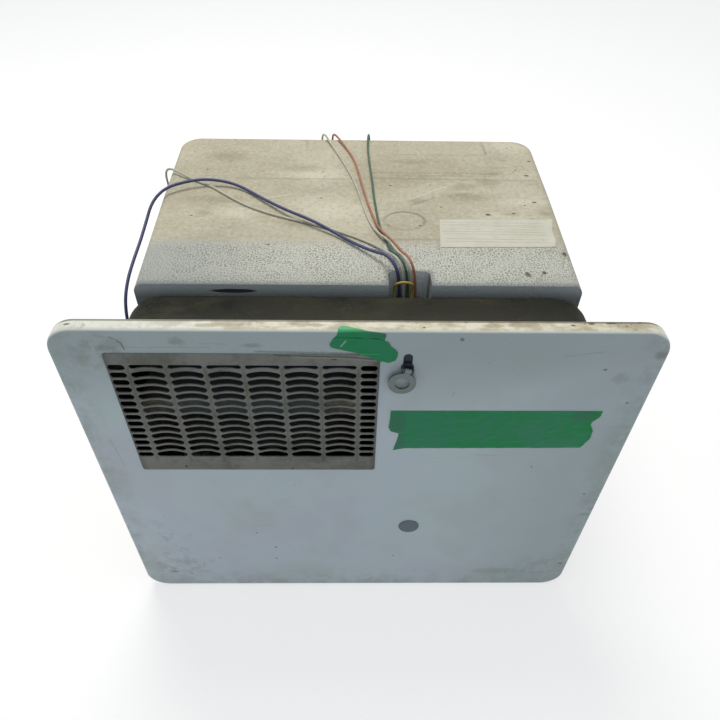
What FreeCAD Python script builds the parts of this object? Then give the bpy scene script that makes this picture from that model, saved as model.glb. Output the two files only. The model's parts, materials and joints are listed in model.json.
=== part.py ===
"""Gas and electric water heater of a caravan: a tank in a foam jacket behind a pan and a hinged door.

Frame, in millimetres: X to the right seen from outside, +Y into the vehicle, +Z up.
Y = 0 is the outside face of the vehicle's wall, against which the pan's flange sits.
X = 0 is the middle of the door, and Z = 0 is the flange's lower edge, on which the heater stands.
"""

import FreeCAD, Part
import math
import os

Vector = FreeCAD.Vector
ACROSS = Vector(1, 0, 0)
INWARD = Vector(0, 1, 0)
UP = Vector(0, 0, 1)

# Door: a pan of painted sheet that closes over the flange
DOOR_WIDTH = 455.0
DOOR_HEIGHT = 367.0
DOOR_CORNER = 22.0
DOOR_DEPTH = 11.5
DOOR_SHEET = 0.9
DOOR_EDGE = 3.0
DOOR_HEM_DEPTH = 7.0
DOOR_TO_FLANGE = 0.5
DOOR_RIM_CLEARANCE = 4.0
DOOR_FLOOR_GAP = 0.8

# Pan: drawn from one sheet, with the wall flange round its mouth
FLANGE_SHEET = 1.0
PAN_SHEET = 1.0
PAN_WIDTH = 408.0
PAN_TOP_BAND = 36.9
PAN_DEPTH = 88.0
PAN_BOTTOM = 24.0
PAN_CORNER = 38.0
PAN_EDGE = 10.0
SCREW_HOLE = 2.4
SCREW_INSET = 7.0
SCREW_COLUMNS = 4

# Foam jacket: two moulded halves round the tank
FOAM_FRONT_WIDTH = 387.0
FOAM_SEAM_WIDTH = 399.0
FOAM_BACK_WIDTH = 405.0
FOAM_HEIGHT = 308.0
FOAM_BOTTOM = 26.0
FOAM_FRONT_DEPTH = 162.0
FOAM_REAR_DEPTH = 128.0
FOAM_LONG_EDGE = 9.0
FOAM_BACK_CORNER = 24.0
FOAM_WALL = 14.0
NOTCH_LEFT = 25.0
NOTCH_RIGHT = 62.0
NOTCH_DEPTH = 21.0
NOTCH_UNDER_LEADS = 16.0

# Tank: an aluminium drum lying across the heater
TANK_DIAMETER = 260.0
TANK_LENGTH = 370.0
TANK_WALL = 3.0
TANK_DOME = 42.0
TANK_KNUCKLE = 18.0
TANK_CLEARANCE = 0.4

# Flue: a hairpin tube through the tank, flame in below and exhaust out above
FLUE_X = -110.0
FLUE_LEG = 52.0
FLUE_RADIUS = 27.0
FLUE_WALL = 2.0
FLUE_BACK_GAP = 11.0
FLUE_LIP = 8.0
WELD_GAP = 0.05
HOLE_CLEARANCE = 1.0

# Exhaust box behind the grille
FLUE_BOX_LEFT = -189.0
FLUE_BOX_RIGHT = 2.0
FLUE_BOX_BOTTOM = 198.0
FLUE_BOX_TOP = 262.0
FLUE_BOX_FRONT = 20.0
FLUE_BOX_SHEET = 1.0
FLUE_BOX_BAND = 17.0
FLUE_BOX_BEND = 3.0

# Grille: one louvred sheet over a window in the door
GRILLE_LEFT = -189.0
GRILLE_WIDTH = 203.0
GRILLE_DROP = 22.0
GRILLE_HEIGHT = 136.5
GRILLE_SHEET = 1.0
GRILLE_CORNER = 2.5
GRILLE_LIP = 3.0
GRILLE_SIDE_LIP = 0.7
SLOT_ROWS = 14
SLOT_PITCH = 7.78
SLOT_HEIGHT = 5.9
FIRST_SLOT_HEIGHT = 4.2
SLOT_DROP = 13.9
SLOT_COLUMNS = 6
COLUMN_PITCH = 28.65
COLUMN_FIRST = -159.4
SLOT_LENGTH = 25.6
LOUVRE_BOW = 1.7
SIDE_SLOT_LENGTH = 12.9
TAB_WIDTH = 12.0
TAB_LENGTH = 7.0
TAB_SHEET = 0.9
TAB_CLEARANCE = 0.15

# Latch: a quarter-turn stud with a folding ring
LATCH_X = 34.6
LATCH_DROP = 34.8
LATCH_SLOT_WIDTH = 7.0
LATCH_SLOT_HEIGHT = 26.0
LATCH_TILT = 16.0
LATCH_PLATE_WIDTH = 24.0
LATCH_PLATE_HEIGHT = 42.0
LATCH_PLATE_SHEET = 1.0
SHANK_RADIUS = 2.4
SHANK_CLEARANCE = 0.1
HEAD_RADIUS = 4.8
HEAD_SHEET = 1.3
WASHER_SHEET = 0.8
CROSSBAR_LENGTH = 14.5
CROSSBAR_WIDTH = 4.0
CROSSBAR_SHEET = 2.0
STRIKE_SHEET = 1.0
STRIKE_RAISE = 4.4
STRIKE_SPAN = 20.0
STRIKE_FOOT = 7.0
STRIKE_RISE = 11.0
STRIKE_CLEARANCE = 0.8
RING_RADIUS = 10.6
RING_HOLE = 5.7
RING_SHEET = 1.8
RING_DROP = 13.0
RING_NECK = 5.2
RING_PIVOT_OUT = 3.1
CURL_RADIUS = 2.1
RING_PIN = 1.0
RING_PIN_CLEARANCE = 0.1
EAR_GAP = 0.3
EAR_SHEET = 1.4

# Plug in the door
PLUG_X = 50.7
PLUG_Z = 118.7
PLUG_RADIUS = 9.9
PLUG_CAP = 1.4
PLUG_STEM = 7.4
PLUG_HOLE_CLEARANCE = 0.2
PLUG_STEM_LENGTH = 3.4

# Hinges low on the door
HINGE_X = 170.0
HINGE_Y = -8.5
HINGE_Z = 6.0
HINGE_PIN = 1.5
HINGE_CLEARANCE = 0.08
HINGE_SHEET = 2.0
HINGE_HUB = 2.6
HINGE_ARM = 2.2
HINGE_FOOT_LOW = 4.6
HINGE_FOOT_HIGH = 9.0
HINGE_FLAP_HEIGHT = 19.0
HINGE_FLAP_WIDTH = 16.0
HINGE_FLAP_SHEET = 1.2
HINGE_SIDE_GAP = 0.5
HINGE_TAB_LOW = 2.1
HINGE_TAB_HIGH = 3.2
HINGE_TAB_BACK = 2.4
HEM_NOTCH = 2.0

# Burner line across the foot of the compartment
BURNER_Y = 48.0
BURNER_START = 2.0
BURNER_RADIUS = 14.0
BURNER_WALL = 1.2
BURNER_BEND = 30.0
BURNER_REACH = 136.0
AIR_SLOT_WIDTH = 9.0
AIR_SLOT_COUNT = 4
AIR_SLOT_OFFSET = 6.0
AIR_SLOT_LENGTH = 10.0
SHUTTER_LENGTH = 18.0
SHUTTER_WALL = 1.2
SHUTTER_CLEARANCE = 0.08
SHUTTER_OFFSET = 2.0
SHUTTER_TAB = 7.0
CLAMP_X = -55.0
CLAMP_WIDTH = 12.0
CLAMP_SHEET = 1.5
ORIFICE_RADIUS = 7.0
ORIFICE_TIP = 3.0
ORIFICE_ENTRY = 6.0
ORIFICE_GAP = 2.0
ORIFICE_BORE = 0.8

# Gas valve with two coils
VALVE_LEFT = 22.0
VALVE_WIDTH = 56.0
VALVE_DEPTH = 46.0
VALVE_BOTTOM = 98.0
VALVE_HEIGHT = 52.0
VALVE_CHAMFER = 5.0
COIL_RADIUS = 12.5
COIL_HEIGHT = 32.0
COIL_PITCH = 27.0
COIL_CAP = 3.0
COIL_ROUND = 1.5
COIL_STEM = 4.0
REGULATOR_RADIUS = 11.0
REGULATOR_HEIGHT = 9.0
VALVE_BRACKET_SHEET = 1.5
FLARE_HEX = 19.0
FLARE_HEX_LENGTH = 9.0
FLARE_RADIUS = 7.9
FLARE_LENGTH = 15.0
FLARE_BORE = 4.8
FLARE_CONE = 3.0
GAS_Z = 112.0
PIPE_GROMMET_BORE = 5.0
PIPE_GROMMET_NECK = 9.0
PIPE_GROMMET_LIP = 12.5
GROMMET_LIP_LENGTH = 3.0
GROMMET_RELIEF = 5.8
GROMMET_RELIEF_MARGIN = 0.5

# Spark electrode at the burner's flame end
ELECTRODE_Y = 68.0
ELECTRODE_Z = 131.0
INSULATOR_LEFT = -181.0
INSULATOR_LENGTH = 27.0
INSULATOR_RADIUS = 4.3
INSULATOR_COLLAR = 5.6
ELECTRODE_WIRE = 1.2
ELECTRODE_BEND = 8.0
ELECTRODE_TIP_X = -132.0
ELECTRODE_TIP_Y = 98.0
ELECTRODE_BRACKET = 1.2

# Circuit board under a cover
BOARD_LEFT = 116.0
BOARD_WIDTH = 74.0
BOARD_BOTTOM = 60.0
BOARD_HEIGHT = 100.0
BOARD_SHEET = 1.6
BOARD_STANDOFF = 5.0
BOARD_POST = 3.0
BOARD_EDGE = 6.0
COVER_MARGIN = 4.0
COVER_DEPTH = 28.0
COVER_WALL = 2.0
COVER_CORNER = 6.0
COVER_RIBS = 4
COVER_RIB = 2.0
COVER_RIB_PROUD = 1.2
RELAY_SIDE = 8.0
RELAY_WIDTH = 20.0
RELAY_LOW = 12.0
RELAY_HEIGHT = 24.0
RELAY_DEPTH = 14.0
IGNITION_SIDE = 36.0
IGNITION_WIDTH = 28.0
IGNITION_LOW = 14.0
IGNITION_HEIGHT = 30.0
IGNITION_DEPTH = 16.0
CONNECTOR_SIDE = 14.0
CONNECTOR_DROP = 12.0
CONNECTOR_HEIGHT = 10.0
CONNECTOR_DEPTH = 8.0

# Relief valve high on the tank, with a test lever
RELIEF_X = 95.0
RELIEF_Z = 246.0
RELIEF_Y = 50.0
RELIEF_BODY = 15.0
RELIEF_BODY_LOW = 22.0
RELIEF_BODY_HIGH = 22.0
RELIEF_BONNET = 10.5
RELIEF_BONNET_HEIGHT = 10.0
RELIEF_HEX = 32.0
RELIEF_HEX_LENGTH = 12.0
RELIEF_NECK = 10.4
RELIEF_ENTRY = 18.0
RELIEF_OUTLET = 9.5
RELIEF_OUTLET_DEPTH = 15.0
STEM_RADIUS = 2.5
STEM_HEIGHT = 7.0
LEVER_LENGTH = 34.0
LEVER_SHEET = 1.2
LEVER_GAP = 1.2
LEVER_HEIGHT = 6.0
LEVER_PIN = 1.4
LEVER_PIN_CLEARANCE = 0.08
LEVER_LIFT = 0.4

# Thermostats against the tank, seen through a window in the pan
THERMOSTAT_X = -25.0
THERMOSTAT_PITCH = 32.0
THERMOSTAT_RADIUS = 8.0
THERMOSTAT_DEPTH = 9.0
THERMOSTAT_WINDOW_WIDTH = 66.0
THERMOSTAT_WINDOW_HEIGHT = 28.0
THERMOSTAT_COVER_MARGIN = 3.0
THERMOSTAT_COVER_DEPTH = 7.0
THERMOSTAT_COVER_WALL = 2.0
THERMOSTAT_COVER_FACE = 1.5
BLADE_PITCH = 8.0
BLADE_WIDTH = 6.0
BLADE_LENGTH = 6.0
BLADE_SHEET = 0.8
SEAT_GAP = 0.1

# Electric element and its box
ELEMENT_X = -40.0
ELEMENT_Z = 80.0
ELEMENT_HEX = 38.0
ELEMENT_HEX_LENGTH = 8.0
ELEMENT_PLUG = 14.0
ELEMENT_ENTRY = 20.0
ELEMENT_ROD = 4.0
ELEMENT_ROD_PITCH = 16.0
ELEMENT_LENGTH = 190.0
ELEMENT_TERMINAL = 2.5
ELEMENT_TERMINAL_LENGTH = 7.0
ELEMENT_BOX_WIDTH = 84.0
ELEMENT_BOX_HEIGHT = 52.0
ELEMENT_BOX_DEPTH = 38.0
ELEMENT_BOX_SHEET = 1.0
ELEMENT_BOX_CORNER = 3.0
SWITCH_OFFSET = -24.0
SWITCH_WIDTH = 13.0
SWITCH_HEIGHT = 19.0
SWITCH_BEZEL = 1.8
SWITCH_BEZEL_DEPTH = 1.5
SWITCH_BODY_DEPTH = 14.0
ROCKER_CLEARANCE = 0.5
ROCKER_TILT = 8.0
ROCKER_RADIUS = 18.0
ROCKER_HOLLOW = 1.2
ROCKER_PROUD = 3.4
COVER_SCREW_RADIUS = 3.2
COVER_SCREW_HEIGHT = 1.8

# Bosses welded to the tank
BOSS_WALL = 3.5
DRAIN_X = 60.0
DRAIN_Z = 62.0
DRAIN_RADIUS = 10.5
DRAIN_HEX = 22.0
DRAIN_HEX_LENGTH = 9.0
DRAIN_PLUG_LENGTH = 14.0
BOSS_FRONT = 84.0
WATER_X = 80.0
HOT_Z = 262.0
COLD_Z = 84.0
WATER_RADIUS = 10.6
WATER_BORE = 7.8
WATER_HEX = 27.0
WATER_HEX_LENGTH = 8.0
WATER_THREAD = 18.0
WATER_ENTRY = 12.0
BOSS_BACK = 4.0

# Engine-heat exchanger pipe along the tank's rear shoulder
COOLANT_RIGHT = -28.0
COOLANT_LEFT = -150.0
COOLANT_RADIUS = 7.94
COOLANT_WALL = 1.2
COOLANT_BEND = 20.0
COOLANT_OUT = 24.0
COOLANT_BACK_GAP = 38.0
COOLANT_COLLAR = 11.0
COOLANT_COLLAR_LENGTH = 1.5

# Grommet for the leads, in the pan's back wall under the notch
LEADS_X = 43.0
LEADS_DROP = 26.0
LEADS_NECK = 11.0
LEADS_LIP = 13.0
LEADS_LIP_LENGTH = 1.5

# Radii of the leads
THICK_LEAD = 1.5
THIN_LEAD = 1.15

# Heights and depths that follow from the sizes above
flange_front = -FLANGE_SHEET
rim_back = flange_front - DOOR_TO_FLANGE
door_front = rim_back - DOOR_DEPTH
door_back = door_front + DOOR_SHEET
door_bottom = DOOR_FLOOR_GAP
door_top = door_bottom + DOOR_HEIGHT
flange_half = DOOR_WIDTH / 2 - DOOR_SHEET - DOOR_RIM_CLEARANCE
flange_top = door_top - DOOR_SHEET - DOOR_RIM_CLEARANCE
pan_half = PAN_WIDTH / 2
pan_top = flange_top - PAN_TOP_BAND
pan_inside = PAN_DEPTH - PAN_SHEET
foam_front = PAN_DEPTH
foam_seam = foam_front + FOAM_FRONT_DEPTH
foam_back = foam_seam + FOAM_REAR_DEPTH
foam_top = FOAM_BOTTOM + FOAM_HEIGHT
tank_radius = TANK_DIAMETER / 2
tank_y = foam_front + FOAM_WALL + tank_radius
tank_z = FOAM_BOTTOM + FOAM_HEIGHT / 2
flue_low = tank_z - FLUE_LEG
flue_high = tank_z + FLUE_LEG
flue_end = tank_y + tank_radius - TANK_WALL - FLUE_BACK_GAP - FLUE_LEG - FLUE_RADIUS
latch_z = door_top - LATCH_DROP
grille_top = door_top - GRILLE_DROP
grille_bottom = grille_top - GRILLE_HEIGHT
slot_top = grille_top - SLOT_DROP
leads_z = pan_top - LEADS_DROP

os.makedirs("parts", exist_ok=True)


def box(x0, x1, y0, y1, z0, z1):
    """A block between two corners."""
    return Part.makeBox(x1 - x0, y1 - y0, z1 - z0, Vector(x0, y0, z0))


def rod(start, direction, radius, length):
    """A round bar from a point along a direction."""
    return Part.makeCylinder(radius, length, start, direction)


def ring(start, direction, outer, inner, length):
    """A round bar with a hole right through it."""
    return rod(start, direction, outer, length).cut(rod(start, direction, inner, length))


def plate(x0, x1, z0, z1, y0, y1, corner):
    """An upright slab facing -Y with rounded corners."""
    slab = box(x0, x1, y0, y1, z0, z1)
    upright = [e for e in slab.Edges if runs_along(e, INWARD)]
    return slab.makeFillet(corner, upright)


def runs_along(edge, direction):
    """Whether an edge is straight and parallel to a direction."""
    if edge.Curve.TypeId != "Part::GeomLine":
        return False
    return abs(abs(edge.Curve.Direction.dot(direction)) - 1.0) < 1e-6


def edges_at_y(shape, y):
    """The edges that lie wholly in the plane of one depth."""
    found = []
    for edge in shape.Edges:
        bounds = edge.BoundBox
        if abs(bounds.YMin - y) < 1e-4 and abs(bounds.YMax - y) < 1e-4:
            found.append(edge)
    return found


def hexagon(start, direction, across_flats, length):
    """A hexagonal bar from a point along a direction."""
    side = ACROSS if abs(direction.dot(ACROSS)) < 0.5 else UP
    other = direction.cross(side)
    reach = across_flats / math.sqrt(3)
    corners = []
    for turn in range(7):
        angle = math.radians(60 * turn)
        corners.append(start + side * (reach * math.cos(angle)) + other * (reach * math.sin(angle)))
    return Part.Face(Part.makePolygon(corners)).extrude(direction * length)


def obround(x, z, width, height, y0, y1):
    """A slot with round ends, cut along Y, as long as the larger of its two sizes."""
    end = min(width, height) / 2
    return plate(x - width / 2, x + width / 2, z - height / 2, z + height / 2, y0, y1, end - 0.001)


def path(points, radius_of):
    """Straight runs joined by tangent arcs, one at each inner point."""
    edges = []
    start = points[0]
    for before, corner, after in zip(points, points[1:], points[2:]):
        back = before - corner
        ahead = after - corner
        shorter = min(back.Length, ahead.Length)
        back.normalize()
        ahead.normalize()
        half_turn = (math.pi - back.getAngle(ahead)) / 2
        radius = radius_of(shorter, half_turn)
        trim = radius * math.tan(half_turn)
        middle = (back + ahead).normalize() * (radius / math.cos(half_turn) - radius)
        edges.append(Part.makeLine(start, corner + back * trim))
        edges.append(Part.Arc(corner + back * trim, corner + middle, corner + ahead * trim).toShape())
        start = corner + ahead * trim
    edges.append(Part.makeLine(start, points[-1]))
    return Part.Wire(edges)


def swept(wire, start, direction, radius):
    """A round bar along a path."""
    profile = Part.Wire(Part.makeCircle(radius, start, direction))
    return wire.makePipeShell([profile], True, False)


def pipe(points, bend, outer, inner):
    """A bent pipe with one bend radius, and a bore unless the inner radius is 0."""
    wire = path(points, lambda shorter, half_turn: bend)
    heading = points[1] - points[0]
    solid = swept(wire, points[0], heading, outer)
    if inner:
        solid = solid.cut(swept(wire, points[0], heading, inner))
    return solid


def save(name, *solids):
    """Write one node, checked for sound solids."""
    shape = solids[0] if len(solids) == 1 else Part.makeCompound(list(solids))
    for solid in shape.Solids:
        if not solid.isValid():
            print("unsound solid in", name)
    shape.exportStep("parts/" + name + ".step")
    print(name, len(shape.Solids), "solids", round(shape.Volume), "mm3")


def door_panel():
    """The door's sheet: face, rim all round, a shorter hem below, and its cut-outs."""
    half = DOOR_WIDTH / 2
    outer = plate(-half, half, door_bottom, door_top, door_front, rim_back, DOOR_CORNER)
    outer = outer.makeFillet(DOOR_EDGE, edges_at_y(outer, door_front))
    low = door_bottom + DOOR_SHEET
    high = door_top - DOOR_SHEET
    side = half - DOOR_SHEET
    inner = plate(-side, side, low, high, door_back, rim_back + 1, DOOR_CORNER - DOOR_SHEET)
    inner = inner.makeFillet(DOOR_EDGE - DOOR_SHEET, edges_at_y(inner, door_back))
    door = outer.cut(inner)
    hem_end = door_front + DOOR_HEM_DEPTH
    cuts = [box(-half, half, hem_end, 0, 0, door_bottom + DOOR_CORNER / 2)]
    for sign in (-1, 1):
        x0 = sign * HINGE_X - HINGE_SHEET - HINGE_SIDE_GAP - HEM_NOTCH
        x1 = sign * HINGE_X + HINGE_SHEET + HINGE_SIDE_GAP + HEM_NOTCH
        cuts.append(box(x0, x1, door_front + DOOR_EDGE, 0, 0, door_bottom + DOOR_EDGE))
    cuts.append(grille_window())
    slot = obround(LATCH_X, latch_z, LATCH_SLOT_WIDTH, LATCH_SLOT_HEIGHT, door_front - 1, 0)
    cuts.append(slot)
    cuts.append(rod(Vector(PLUG_X, door_front - 1, PLUG_Z), INWARD, PLUG_STEM + PLUG_HOLE_CLEARANCE, 5))
    save("door_panel", door.cut(cuts))


def grille_window():
    """The opening in the door behind the grille, a lip smaller than the grille all round."""
    x0 = GRILLE_LEFT + GRILLE_SIDE_LIP
    x1 = GRILLE_LEFT + GRILLE_WIDTH - GRILLE_SIDE_LIP
    z0 = grille_bottom + GRILLE_LIP
    z1 = grille_top - GRILLE_LIP
    return box(x0, x1, door_front - 1, 0, z0, z1)


def louvre_column(x, half, z0, z1):
    """A sheet bowed into the door between two heights, one column wide."""
    front = door_front - GRILLE_SHEET
    faces = []
    arcs = []
    for y in (front, door_front):
        left = Vector(x - half, y, z0)
        right = Vector(x + half, y, z0)
        arcs.append(Part.Arc(left, Vector(x, y + LOUVRE_BOW, z0), right).toShape())
        faces.append((left, right))
    sides = [Part.makeLine(faces[0][i], faces[1][i]) for i in (0, 1)]
    outline = Part.Wire(Part.__sortEdges__([arcs[0], sides[1], arcs[1], sides[0]]))
    return Part.Face(outline).extrude(UP * (z1 - z0))


def exhaust_grille():
    """One sheet: rows of slots between bars that are pressed inwards, and folded tabs behind."""
    right = GRILLE_LEFT + GRILLE_WIDTH
    top = grille_top
    front = door_front - GRILLE_SHEET
    sheet = plate(GRILLE_LEFT, right, grille_bottom, top, front, door_front, GRILLE_CORNER)
    sheet = sheet.makeFillet(GRILLE_SHEET * 0.7, edges_at_y(sheet, front))
    slot_bottom = slot_top - SLOT_PITCH * (SLOT_ROWS - 1)
    half = SLOT_LENGTH / 2 - SLOT_HEIGHT / 2
    columns = [COLUMN_FIRST + COLUMN_PITCH * c for c in range(SLOT_COLUMNS)]
    windows = [box(x - half, x + half, front - 1, door_front + 1, slot_bottom, slot_top) for x in columns]
    bowed = [louvre_column(x, half, slot_bottom, slot_top) for x in columns]
    sheet = sheet.cut(windows).fuse(bowed)
    reach = door_front + LOUVRE_BOW + 1
    web = COLUMN_PITCH - SLOT_LENGTH
    side_shift = SLOT_LENGTH / 2 + web + SIDE_SLOT_LENGTH / 2
    slots = []
    for row in range(SLOT_ROWS):
        z = slot_top - SLOT_PITCH * row
        height = FIRST_SLOT_HEIGHT if row == 0 else SLOT_HEIGHT
        level = z + (SLOT_HEIGHT - height) / 2
        for x in columns:
            slots.append(obround(x, level, SLOT_LENGTH, height, front - 1, reach))
        for x in (columns[0] - side_shift, columns[-1] + side_shift):
            slots.append(obround(x, z, SIDE_SLOT_LENGTH, SLOT_HEIGHT, front - 1, reach))
    sheet = sheet.cut(slots)
    tabs = []
    for x in (columns[0], columns[-1]):
        for edge, sign in ((grille_bottom + GRILLE_LIP, 1), (top - GRILLE_LIP, -1)):
            inner = edge + sign * (TAB_CLEARANCE + TAB_SHEET)
            outer = edge + sign * TAB_CLEARANCE
            fold = door_back + TAB_CLEARANCE
            stem = box(x - TAB_WIDTH / 2, x + TAB_WIDTH / 2, door_front, fold + TAB_SHEET,
                       min(inner, outer), max(inner, outer))
            end = edge - sign * TAB_LENGTH
            flap = box(x - TAB_WIDTH / 2, x + TAB_WIDTH / 2, fold, fold + TAB_SHEET,
                       min(inner, end), max(inner, end))
            tabs += [stem, flap]
    save("exhaust_grille", sheet.fuse(tabs).removeSplitter())


def door_plug():
    """A plastic cap in the round hole of the door."""
    cap = rod(Vector(PLUG_X, door_front - PLUG_CAP, PLUG_Z), INWARD, PLUG_RADIUS, PLUG_CAP)
    cap = cap.makeFillet(PLUG_CAP * 0.6, edges_at_y(cap, door_front - PLUG_CAP))
    stem = ring(Vector(PLUG_X, door_front, PLUG_Z), INWARD, PLUG_STEM, PLUG_STEM - 1.5, PLUG_STEM_LENGTH)
    save("door_plug", cap.fuse(stem))


def hinge_parts():
    """Ears on the flange, and the door's tabs with the pins that turn in the ears."""
    ears = []
    tabs = []
    pins = []
    bore = HINGE_PIN + HINGE_CLEARANCE
    for sign in (-1, 1):
        x0 = sign * HINGE_X - HINGE_SHEET / 2
        axis = Vector(x0, HINGE_Y, HINGE_Z)
        arm = box(x0, x0 + HINGE_SHEET, HINGE_Y - HINGE_ARM, HINGE_Y + HINGE_ARM,
                  HINGE_Z, HINGE_Z + HINGE_FOOT_HIGH)
        foot = box(x0, x0 + HINGE_SHEET, HINGE_Y, flange_front - HINGE_FLAP_SHEET,
                   HINGE_Z + HINGE_FOOT_LOW, HINGE_Z + HINGE_FOOT_HIGH)
        middle = sign * HINGE_X
        flap = box(middle - HINGE_FLAP_WIDTH / 2, middle + HINGE_FLAP_WIDTH / 2,
                   flange_front - HINGE_FLAP_SHEET, flange_front,
                   HINGE_Z + HINGE_FOOT_LOW, HINGE_Z + HINGE_FLAP_HEIGHT)
        hub = rod(axis, ACROSS, HINGE_HUB, HINGE_SHEET)
        hole = rod(axis - ACROSS, ACROSS, bore, HINGE_SHEET + 2)
        ears.append(hub.fuse([arm, foot, flap]).cut(hole).removeSplitter())
        tab_x = x0 + HINGE_SHEET + HINGE_SIDE_GAP
        tab = box(tab_x, tab_x + HINGE_SHEET, door_back, HINGE_Y + HINGE_TAB_BACK,
                  HINGE_Z - HINGE_TAB_LOW, HINGE_Z + HINGE_TAB_HIGH)
        seat = rod(Vector(tab_x - 1, HINGE_Y, HINGE_Z), ACROSS, HINGE_PIN + WELD_GAP, HINGE_SHEET + 2)
        tabs.append(tab.cut(seat))
        length = 2 * HINGE_SHEET + HINGE_SIDE_GAP + 1
        head = rod(Vector(x0 - 1.4, HINGE_Y, HINGE_Z), ACROSS, HINGE_PIN + 0.7, 1)
        pins.append(rod(Vector(x0 - 0.4, HINGE_Y, HINGE_Z), ACROSS, HINGE_PIN, length).fuse(head))
    save("hinge_ears", *ears)
    save("hinge_tabs", *tabs)
    save("hinge_pins", *pins)


def control_box():
    """The drawn pan with its wall flange and every hole that the works need."""
    outer = plate(-pan_half, pan_half, PAN_BOTTOM, pan_top, flange_front, PAN_DEPTH, PAN_CORNER)
    outer = outer.makeFillet(PAN_EDGE, edges_at_y(outer, PAN_DEPTH))
    inner = plate(-pan_half + PAN_SHEET, pan_half - PAN_SHEET, PAN_BOTTOM + PAN_SHEET, pan_top - PAN_SHEET,
                  flange_front - 1, pan_inside, PAN_CORNER - PAN_SHEET)
    inner = inner.makeFillet(PAN_EDGE - PAN_SHEET, edges_at_y(inner, pan_inside))
    flange = plate(-flange_half, flange_half, 0, flange_top, flange_front, 0, DOOR_CORNER - DOOR_SHEET)
    pan = outer.fuse(flange).cut(inner)
    back = pan_inside - 1
    through = PAN_SHEET + 2
    cuts = []
    for z in (flue_low, flue_high):
        cuts.append(rod(Vector(FLUE_X, back, z), INWARD, FLUE_RADIUS + HOLE_CLEARANCE, through))
    for x, z, radius in front_bosses():
        cuts.append(rod(Vector(x, back, z), INWARD, radius + BOSS_WALL + HOLE_CLEARANCE, through))
    cuts.append(thermostat_window(back, back + through))
    cuts.append(rod(Vector(LEADS_X, back, leads_z), INWARD, LEADS_NECK, through))
    cuts.append(rod(Vector(pan_half - 2, BURNER_Y, GAS_Z), ACROSS, PIPE_GROMMET_NECK, 4))
    for x, z in flange_screws():
        cuts.append(rod(Vector(x, flange_front - 1, z), INWARD, SCREW_HOLE, FLANGE_SHEET + 2))
    save("control_box", pan.cut(cuts).removeSplitter())


def flange_screws():
    """Centres of the flange's screw holes: a row above and below, and one each side between."""
    across = flange_half - SCREW_INSET - DOOR_CORNER / 2
    high = flange_top - SCREW_INSET
    spots = []
    for column in range(SCREW_COLUMNS):
        x = -across + 2 * across * column / (SCREW_COLUMNS - 1)
        spots += [(x, SCREW_INSET), (x, high)]
    for side in (-1, 1):
        spots.append((side * (flange_half - SCREW_INSET), flange_top / 2))
    return spots


def front_bosses():
    """X, Z and bore radius of the bosses on the tank's front."""
    return [(DRAIN_X, DRAIN_Z, DRAIN_RADIUS), (ELEMENT_X, ELEMENT_Z, ELEMENT_PLUG),
            (RELIEF_X, RELIEF_Z, RELIEF_NECK)]


def rear_bosses():
    """X, Z and bore radius of the bosses on the tank's back."""
    return [(WATER_X, HOT_Z, WATER_RADIUS), (WATER_X, COLD_Z, WATER_RADIUS)]


def thermostat_window(y0, y1):
    """The rectangular way through pan and foam to the tank's front."""
    half = THERMOSTAT_WINDOW_WIDTH / 2
    rise = THERMOSTAT_WINDOW_HEIGHT / 2
    return plate(THERMOSTAT_X - half, THERMOSTAT_X + half, tank_z - rise, tank_z + rise, y0, y1, 4)


def is_rim(edge, radius):
    """Whether an edge is a circle of one radius round the X axis."""
    if edge.Degenerated or edge.Curve.TypeId != "Part::GeomCircle":
        return False
    return abs(edge.Curve.Radius - radius) < 1e-3 and abs(abs(edge.Curve.Axis.x) - 1) < 1e-6


def drum(grow):
    """The tank's outline, larger all round by a distance: a cylinder across with domed ends."""
    radius = tank_radius + grow
    half = TANK_LENGTH / 2 + grow
    straight = half - TANK_DOME
    bulge = (TANK_DOME ** 2 + radius ** 2) / (2 * TANK_DOME)
    lean = math.asin(radius / bulge) / 2
    mid_x = straight + TANK_DOME - bulge * (1 - math.cos(lean))
    mid_r = bulge * math.sin(lean)
    left = Part.Arc(Vector(-half, 0, 0), Vector(-mid_x, 0, mid_r), Vector(-straight, 0, radius)).toShape()
    right = Part.Arc(Vector(straight, 0, radius), Vector(mid_x, 0, mid_r), Vector(half, 0, 0)).toShape()
    top = Part.makeLine(Vector(-straight, 0, radius), Vector(straight, 0, radius))
    axis = Part.makeLine(Vector(half, 0, 0), Vector(-half, 0, 0))
    turned = Part.Face(Part.Wire([left, top, right, axis])).revolve(Vector(0, 0, 0), ACROSS, 360)
    seams = [e for e in turned.Edges if is_rim(e, radius)]
    rounded = turned.makeFillet(TANK_KNUCKLE, seams)
    rounded.translate(Vector(0, tank_y, tank_z))
    return rounded


def tank():
    """The welded drum: shell, bosses front and back, and holes for the flue's two legs."""
    inside = drum(-TANK_WALL)
    bosses = []
    bores = []
    for x, z, radius in front_bosses():
        bosses.append(rod(Vector(x, BOSS_FRONT, z), INWARD, radius + BOSS_WALL, tank_y - BOSS_FRONT))
        bores.append(rod(Vector(x, BOSS_FRONT - 1, z), INWARD, radius, tank_y - BOSS_FRONT))
    for x, z, radius in rear_bosses():
        length = foam_back + BOSS_BACK - tank_y
        bosses.append(rod(Vector(x, tank_y, z), INWARD, radius + BOSS_WALL, length))
        bores.append(rod(Vector(x, tank_y, z), INWARD, radius, length + 1))
    for z in (flue_low, flue_high):
        hole = rod(Vector(FLUE_X, foam_front, z), INWARD, FLUE_RADIUS + WELD_GAP, tank_y - foam_front)
        bores.append(hole)
    shell = drum(0).fuse(bosses).cut(inside).cut(bores)
    save("tank", shell.removeSplitter())


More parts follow.
